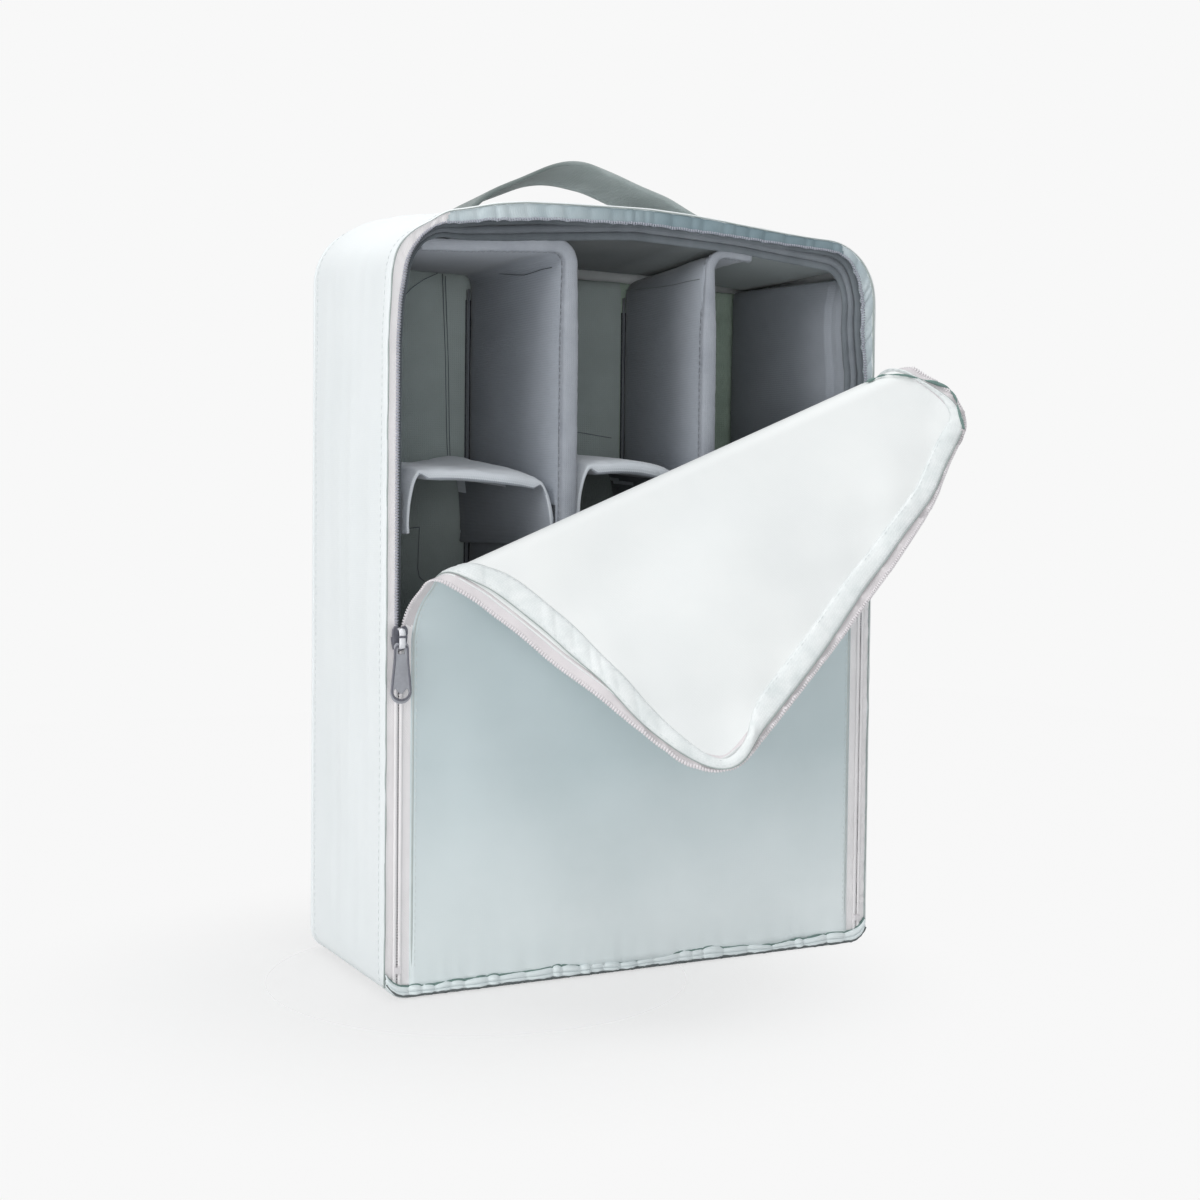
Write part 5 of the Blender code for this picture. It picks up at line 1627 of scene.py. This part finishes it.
# %% Mouth binding
# Down the left side, the rolls are pressed half as thick and lie closer to the zip
binding_bumps = gathers(along_mouth * mouth_length, 0.007, 18)
mouth_rolls = []
for name, inset, y, wide, material in (("mouth_binding", 0.0094, -0.0500, 0.0019, mouth_ribbon),
                                       ("mouth_lip", 0.0126, -0.0488, 0.0020, mouth_knit)):
    slim = (1 - smoothstep(along_mouth, 0.36, 0.42))[:, None]
    pressed_inset = 0.0076 + 0.55 * (inset - 0.0094)
    centre = mouth_points(inset, TOP_DROP) * (1 - slim) + mouth_points(pressed_inset, TOP_DROP) * slim
    path, out = at_depth(centre, y), at_depth(outward(centre), 0)
    swollen = (1 + 0.10 * binding_bumps) * (1 - 0.5 * slim[:, 0])
    rows = []
    for a in np.linspace(0, 2 * math.pi, 13):
        row = path + out * (math.cos(a) * wide * swollen)[:, None]
        row[:, 1] += math.sin(a) * 0.0013 * swollen
        rows.append(row)
    mouth_rolls.append(mend(surface(name, np.array(rows), material)))
let_rise(*mouth_rolls)
mouth_binding = join(*mouth_rolls)
print("mouth binding", len(mouth_binding.data.polygons), "faces")

# %% [markdown]
# ## Sliders and pulls
# A slider is two plates joined by a post, with a bridge on the front plate that holds the
# pull. The pull widens towards its round end, has a raised rim, and an oval hole near the
# end. The plates start as outlines with their edges rounded, and the bridge and rims are
# swept cords.


# %% Flat metal plates and cords
def flat_plate(name, outlines, thickness, soft, place, material):
    """A plate from outlines in x and z, with rounded edges; place is its middle."""
    curve = bpy.data.curves.new(name, "CURVE")
    curve.dimensions = "2D"
    curve.fill_mode = "BOTH"
    curve.extrude = thickness / 2 - soft
    curve.bevel_depth = soft
    curve.bevel_resolution = 2
    curve.offset = -soft
    for outline in outlines:
        spline = curve.splines.new("POLY")
        spline.points.add(len(outline) - 1)
        for point, (x, z) in zip(spline.points, outline):
            point.co = (x, z, 0, 1)
        spline.use_cyclic_u = True
    thing = put(name, curve)
    mesh = final_mesh(thing)
    bpy.data.objects.remove(thing, do_unlink=True)
    mesh.transform(Matrix.Translation(place) @ Matrix.Rotation(math.pi / 2, 4, "X"))
    mesh.materials.clear()
    mesh.materials.append(material)
    plate = mend(put(name, mesh), fill=False)
    plate.data.set_sharp_from_angle(angle=math.radians(50))
    return plate


def round_corners(outline, count=80):
    """A closed outline drawn smoothly through its corner points."""
    points = np.array(outline, float)
    for _ in range(3):
        following = np.roll(points, -1, axis=0)
        cut = [points * 0.75 + following * 0.25, points * 0.25 + following * 0.75]
        points = np.stack(cut, axis=1).reshape(-1, 2)
    return even(np.vstack([points, points[:1]]), count + 1)[:-1]


# %% Make both sliders and pulls
# Outline of a slider's plate, in shares of its half width and its length
SLIDER_OUTLINE = [(-0.62, 0.0), (0.62, 0.0), (0.86, 0.28), (1.0, 0.72), (0.80, 1.0), (0.34, 0.97),
                  (0.0, 0.84), (-0.34, 0.97), (-0.80, 1.0), (-1.0, 0.72), (-0.86, 0.28)]
PLATE_OUT = 0.0019
BRIDGE_OUT = 0.0038
# The pull: the half width of its top and of its hole, the wall of its ring, and its border
PULL_TOP_HALF, EYE_HALF, RING_WALL, BORDER_INSET = 0.0035, 0.0017, 0.0014, 0.0006
# The hole's upper end, as shares of its half width and distances up
HOLE_TOP = [(-0.95, 0.0012), (-0.72, 0.0019), (-0.42, 0.0006), (-0.18, -0.0005), (0.18, -0.0005),
            (0.42, 0.0006), (0.72, 0.0019), (0.95, 0.0012)]


def make_slider(side):
    """Two plates, the rails and shoulders between them, the bridge, its pin, and the post."""
    low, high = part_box("slider_" + side)
    x, half_body, length = (low.x + high.x) / 2, (high.x - low.x) / 2 * 0.90, high.z - low.z
    outline = round_corners([(half_body * a, length * b) for a, b in SLIDER_OUTLINE])
    plate_y = zip_y - PLATE_OUT
    top_plate = flat_plate("slider_plate", [outline], 0.0012, 0.0003, (x, plate_y, low.z), zinc_shade)
    rear_y = zip_y + PLATE_OUT
    pieces = [flat_plate("slider_rear", [outline], 0.0010, 0.0003, (x, rear_y, low.z), zinc_shade)]
    for sign in (-1, 1):
        rail = [(x + sign * half_body * a, plate_y + 0.0007, low.z + length * b)
                for a, b in ((0.66, 0.06), (0.82, 0.30), (0.90, 0.55))]
        pieces.append(welt("slider_rail", even(rail, 12), 0.0007, zinc_shade, OUT_FRONT))
        shoulder = [(x + sign * half_body * a, plate_y - 0.0004, low.z + length * b)
                    for a, b in ((0.30, 0.96), (0.66, 0.97), (0.86, 0.86), (0.88, 0.66))]
        pieces.append(welt("slider_shoulder", even(shoulder, 14), 0.00055, zinc_shade, OUT_FRONT))
    reach, top = plate_y - BRIDGE_OUT, low.z + length
    arch = even([(x, plate_y, low.z + 0.0012), (x, reach + 0.0006, low.z + 0.0014),
                 (x, reach, low.z + 0.0028), (x, reach, top - 0.0032),
                 (x, reach + 0.0008, top - 0.0016), (x, plate_y, top - 0.0012)], 26)
    arch_facing = np.cross(frames_along(arch), (1.0, 0.0, 0.0))
    pieces.append(welt("slider_bridge", arch, 0.0016, zinc_highlight, arch_facing, flatten=0.34, sides=12))
    pin_z, post_z = low.z + length * 0.58, low.z + length * 0.72
    pin = [(x - 0.0019, reach - 0.0004, pin_z), (x + 0.0019, reach - 0.0004, pin_z)]
    pieces.append(welt("slider_pin", even(pin, 5), 0.0006, zinc_shade, OUT_FRONT))
    post = [(x, plate_y, post_z), (x, zip_y + 0.0018, post_z)]
    pieces.append(welt("slider_post", even(post, 4), 0.0003, zinc_shade, (0, 0, 1)))
    return join(top_plate, *pieces)


def make_pull(side):
    """A plate that widens to a round end, with an eye, an oval hole and a raised border."""
    low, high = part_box("pull_" + side)
    x, y, top = (low.x + high.x) / 2, (low.y + high.y) / 2, high.z
    half_end = (high.x - low.x) / 2
    end_centre, half_hole = low.z + half_end, half_end - RING_WALL
    angles = np.linspace(0, -math.pi, 25)
    body = [(half_end * math.cos(a), end_centre + half_end * math.sin(a)) for a in angles]
    neck = [(-PULL_TOP_HALF - 0.0003, top - 0.0088), (-PULL_TOP_HALF, top - 0.0012),
            (-PULL_TOP_HALF + 0.0009, top)]
    body += neck + [(-a, b) for a, b in neck[::-1]]
    eye = [(-EYE_HALF, top - 0.0013), (EYE_HALF, top - 0.0013),
           (EYE_HALF, top - 0.0052), (-EYE_HALF, top - 0.0052)]
    hole = [(half_hole * math.cos(a), end_centre + half_hole * math.sin(a)) for a in angles]
    hole += [(half_hole * a, end_centre + b) for a, b in HOLE_TOP]
    plate = flat_plate("pull_plate", [body, eye, hole], 0.0011, 0.00025, (x, y, 0), cast_zinc)
    ring = even(np.vstack([body, body[:1]]), 150)[:-1]
    centre = ring.mean(axis=0)
    ring = centre + (ring - centre) * (1 - BORDER_INSET / half_end) + (x, 0)
    border = welt("pull_border", at_depth(ring, y - 0.0004), 0.00055, zinc_shade, OUT_FRONT, wrap=True)
    return join(plate, border)


zip_parts = {}
for side in ("left", "right"):
    for kind, make in (("slider_", make_slider), ("pull_", make_pull)):
        zip_parts[kind + side] = make(side)
        zip_parts[kind + side].name = kind + side + "_metal"
print("zip hardware", sorted(zip_parts))

# %% [markdown]
# ## The handle
# A length of webbing is sewn flat to the top at both ends and rises between them. Its crest
# leans to the left, and the far edge lies a little lower than the near one, because a strap
# twists slightly when it has been carried by one hand. Its left end is turned under close to
# the crest, where the sagging rim hides it.

# %% Strap
# Places along the strap, and how far its near and its far edge rise there
NEAR_X = [-0.0835, -0.0825, -0.0812, -0.0785, -0.0710, -0.0535, -0.0380, -0.0275, -0.0180, -0.0010, 0.0140,
          0.0305, 0.0446, 0.0600, 0.0720, 0.0800, 0.0920]
NEAR_RISE = [0.0012, 0.0014, 0.0026, 0.0058, 0.0098, 0.0172, 0.0248, 0.0278, 0.0280, 0.0236, 0.0190,
             0.0150, 0.0094, 0.0052, 0.0024, 0.0014, 0.0012]
FAR_RISE = [0.0012, 0.0014, 0.0024, 0.0050, 0.0082, 0.0152, 0.0218, 0.0240, 0.0242, 0.0222, 0.0176,
            0.0126, 0.0082, 0.0046, 0.0024, 0.0014, 0.0012]
HANDLE_HALF = 0.019
STRAP_WALL = 0.0019
BOX_HALF = 0.0165
STRAP_POINTS, BOX_POINTS = 120, 260
strap_x = np.linspace(NEAR_X[0], NEAR_X[-1], STRAP_POINTS)


near, far = [eased(np.interp(strap_x, NEAR_X, rises), 10) for rises in (NEAR_RISE, FAR_RISE)]
ground = crowned(strap_x, np.full(STRAP_POINTS, CASE_HEIGHT))
rows = []
for share in np.linspace(0, 1, 13):
    edge_round = 0.0004 * (2 * share - 1) ** 8
    z = ground + near * (1 - share) + far * share - edge_round
    rows.append(at_depth(np.column_stack([strap_x, z]), HANDLE_HALF * (2 * share - 1)))
strap = strip("handle_strap", rows, webbing, STRAP_WALL)
# Each sewn end is held by a box of stitches with a cross in it
box_paths = []
for x_low, x_high in ((-0.0833, -0.0815), (0.0805, 0.0905)):
    corners = [(x_low, -BOX_HALF), (x_high, -BOX_HALF), (x_high, BOX_HALF), (x_low, BOX_HALF),
               (x_low, -BOX_HALF), (x_high, BOX_HALF), (x_low, BOX_HALF), (x_high, -BOX_HALF)]
    flat_path = even(corners, BOX_POINTS)
    height = crowned(flat_path[:, 0], np.full(BOX_POINTS, CASE_HEIGHT)) + 0.0024
    box_paths.append(np.column_stack([flat_path, height]))
strap_stitches = repeat_along("handle_stitches", box_paths, [(0, 0, 1)] * 2, stitch_tree,
                              STRAP_STITCH, lining_thread)
let_sag(strap, strap_stitches)
print("strap", round(float(strap_x[-1] - strap_x[0]), 3), "m long")

# %% [markdown]
# ## Joining the pieces to the moving bodies
# Each piece is put on the body it moves with, and the solids it stands for are hidden. The
# flap's pieces and the strap keep their places, with their transforms baked.


def dress(thing, slot, *stands_for):
    """Hides the solids that a piece stands for; its slot is not used."""
    if stands_for:
        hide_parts(*stands_for)


def settle(body, slot, pieces):
    """Puts pieces on a body; each comes with the names of the solids it stands for."""
    for thing, stands_for in pieces:
        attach(thing, body)
        dress(thing, slot, *stands_for)


settle("case", "cover_fabric", [
    (cover, ["cover_gusset", "cover_back", "cover_base"]), (mouth_welt, []), (back_welt, []),
    (cover_stitches, []), (front_hem, ["front_sill"]), (hem_seam, []), (tape_seam, [])])
settle("case", "zip_tape", [(case_tape, ["case_tape"])])
settle("case", "zip_coil", [(case_coil, ["case_coil"])])
settle("case", "lining", [
    (mouth_facing, []), (mouth_binding, ["lining_binding"]),
    (walls["wall_left"], ["lining_left", "foam_left"]),
    (walls["wall_right"], ["lining_right", "foam_right", "foam_wedge"]),
    (walls["ceiling_pad"], ["lining_top", "foam_top"]),
    (walls["floor_pad"], ["lining_base", "foam_base"]),
    (walls["back_wall"], ["lining_back", "foam_back"]),
    *[(pad, [name]) for name, pad in dividers.items()],
    *[(thing, []) for thing in (*lining_seams, *trims)]])
settle("case", "webbing", [(strap_stitches, [])])
for name, body in (("shelf_left", "left_shelf"), ("shelf_middle", "middle_shelf")):
    settle(body, "lining", [(shelves[name], [name, name + "_tab_left", name + "_tab_right"])])
for side in ("left", "right"):
    for kind in ("slider", "pull"):
        settle(side + "_" + kind, "zip_metal", [(zip_parts[kind + "_" + side], [kind + "_" + side])])

flap_pieces = [
    (flap_panel, "flap_fabric", ["flap_lower", "flap_crease", "flap_upper"]),
    (flap_tape, "zip_tape", ["flap_tape_left", "flap_tape_right", "flap_tape_upper",
                             "flap_edge_left", "flap_edge_right"]),
    (flap_coil, "zip_coil", ["flap_coil_left", "flap_coil_right", "flap_coil_upper"]),
    (flap_binding, "flap_fabric", []), (flap_groove, "flap_fabric", []), (flap_stitches, "flap_fabric", []),
]
for thing, slot, stands_for in flap_pieces:
    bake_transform(thing)
    dress(thing, slot, *stands_for)
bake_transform(strap)
dress(strap, "webbing", "handle", "handle_end_left", "handle_end_right",
      "handle_anchor_left", "handle_anchor_right")
print("flap pieces bend with the fold:", [thing.name for thing, _, _ in flap_pieces])

# %% [markdown]
# ## Finishes for the solids that stay
# The hook tape and the zip's moulded stops have the right shape already, so they only get a
# better material.

# %% Materials of the remaining nodes
node_finishes = {"hook": hook_tape, "zip_stop": pale_coil}
for name, node in nodes.items():
    for part, material in node_finishes.items():
        if part in name:
            node.data.materials.clear()
            node.data.materials.append(material)
print("nodes still shown", [name for name, node in nodes.items() if not node.hide_render])

# %% [markdown]
# ## Stage, light and camera
# The photograph is a studio picture: an even pale ground, a soft key light from the upper
# left and a weak fill. The ground is drawn as plain pale for the camera and as a matt floor
# for the light, so it keeps the soft shadow. The camera is placed from the vanishing lines
# of the box, at the height of its lower half.

# %% Camera
YAW, PITCH, ROLL = math.radians(27.49), math.radians(2.10), math.radians(-0.62)
FOCAL_PIXELS, IMAGE_PIXELS, SENSOR = 1669.0, 1200.0, 36.0
CAMERA_PLACE = (-0.411, -0.795, 0.219)
forward = Vector((math.sin(YAW) * math.cos(PITCH), math.cos(YAW) * math.cos(PITCH), -math.sin(PITCH)))
right = Vector((math.cos(YAW), -math.sin(YAW), 0))
down = forward.cross(right)
right_rolled = right * math.cos(ROLL) + down * math.sin(ROLL)
down_rolled = down * math.cos(ROLL) - right * math.sin(ROLL)
lens = bpy.data.cameras.new("camera")
lens.lens = FOCAL_PIXELS / IMAGE_PIXELS * SENSOR
lens.sensor_width = SENSOR
lens.clip_start = 0.01
camera = put("camera", lens)
turn = Matrix((right_rolled, -down_rolled, -forward)).transposed()
camera.matrix_world = Matrix.Translation(CAMERA_PLACE) @ turn.to_4x4()
bpy.context.scene.camera = camera
print("lens", round(lens.lens, 2), "mm")


# %% Lights
def soft_light(name, place, target, size, power):
    """A round white lamp that is turned to a target."""
    lamp = bpy.data.lights.new(name, "AREA")
    lamp.shape = "DISK"
    lamp.size = size
    lamp.energy = power
    aim = (Vector(target) - Vector(place)).to_track_quat("-Z", "Y")
    put(name, lamp).matrix_world = Matrix.Translation(place) @ aim.to_matrix().to_4x4()


soft_light("overhead", (0.10, 0.05, 2.2), (0, 0, 0.1), 1.3, 19)
soft_light("side_key", (-1.7, -0.5, 0.85), (0, 0, 0.25), 0.9, 11.5)
soft_light("front_high", (-0.35, -1.2, 1.9), (0, 0, 0.25), 1.2, 4.5)
soft_light("front_low", (-0.80, -1.70, 0.20), (-0.1, 0, 0.12), 0.8, 5.2)

world = bpy.data.worlds.new("studio")
bpy.context.scene.world = world
world.use_nodes = True
tree = world.node_tree
tree.nodes.clear()
rays = add_node(tree, "ShaderNodeLightPath")
seen = maths(tree, "MAXIMUM", rays.outputs["Is Camera Ray"], rays.outputs["Is Glossy Ray"])
seen = maths(tree, "MAXIMUM", seen, rays.outputs["Is Transmission Ray"])
lit = add_node(tree, "ShaderNodeBackground", {"Color": linear("#F2F5F7"), "Strength": 0.42})
shown = add_node(tree, "ShaderNodeBackground", {"Color": linear("#F8F8F8"), "Strength": 1.0})
mixed = add_node(tree, "ShaderNodeMixShader", {0: seen, 1: lit.outputs[0], 2: shown.outputs[0]})
add_node(tree, "ShaderNodeOutputWorld", {0: mixed.outputs[0]})

# %% Floor
# Close to the case the floor shows its shadow; further out it clears into the background
SHADOW_CENTRE = (-0.08, -0.03, 0)
FLOOR_HALF, FLOOR_Z = 1.2, -0.0004
material, tree, shader = start_material("matt_paper_floor", Roughness=0.95, Specular_IOR_Level=0.1)
place = add_node(tree, "ShaderNodeTexCoord")
distance = add_node(tree, "ShaderNodeVectorMath", {
    0: place.outputs["Object"], 1: SHADOW_CENTRE}, operation="DISTANCE")
fade = ranged(tree, distance.outputs["Value"], (0.08, 0.26, 0.68, 0.995), interpolation_type="SMOOTHSTEP")
eye_ray = add_node(tree, "ShaderNodeLightPath").outputs["Is Camera Ray"]
paper = blended(tree, eye_ray, linear("#F4F4F4"), linear("#E2E2E2"))
tree.links.new(paper, shader.inputs["Base Color"])
clear = add_node(tree, "ShaderNodeBsdfTransparent")
floor_mix = add_node(tree, "ShaderNodeMixShader", {
    0: maths(tree, "MULTIPLY", fade, eye_ray), 1: shader.outputs[0], 2: clear.outputs[0]})
tree.links.new(floor_mix.outputs[0], tree.nodes["Material Output"].inputs["Surface"])
floor_points = [(x * FLOOR_HALF, y * FLOOR_HALF, FLOOR_Z) for x, y in ((-1, -1), (1, -1), (1, 1), (-1, 1))]
floor = give_mesh("floor", floor_points, [(0, 1, 2, 3)], material)
bpy.context.scene.view_settings.view_transform = "Standard"
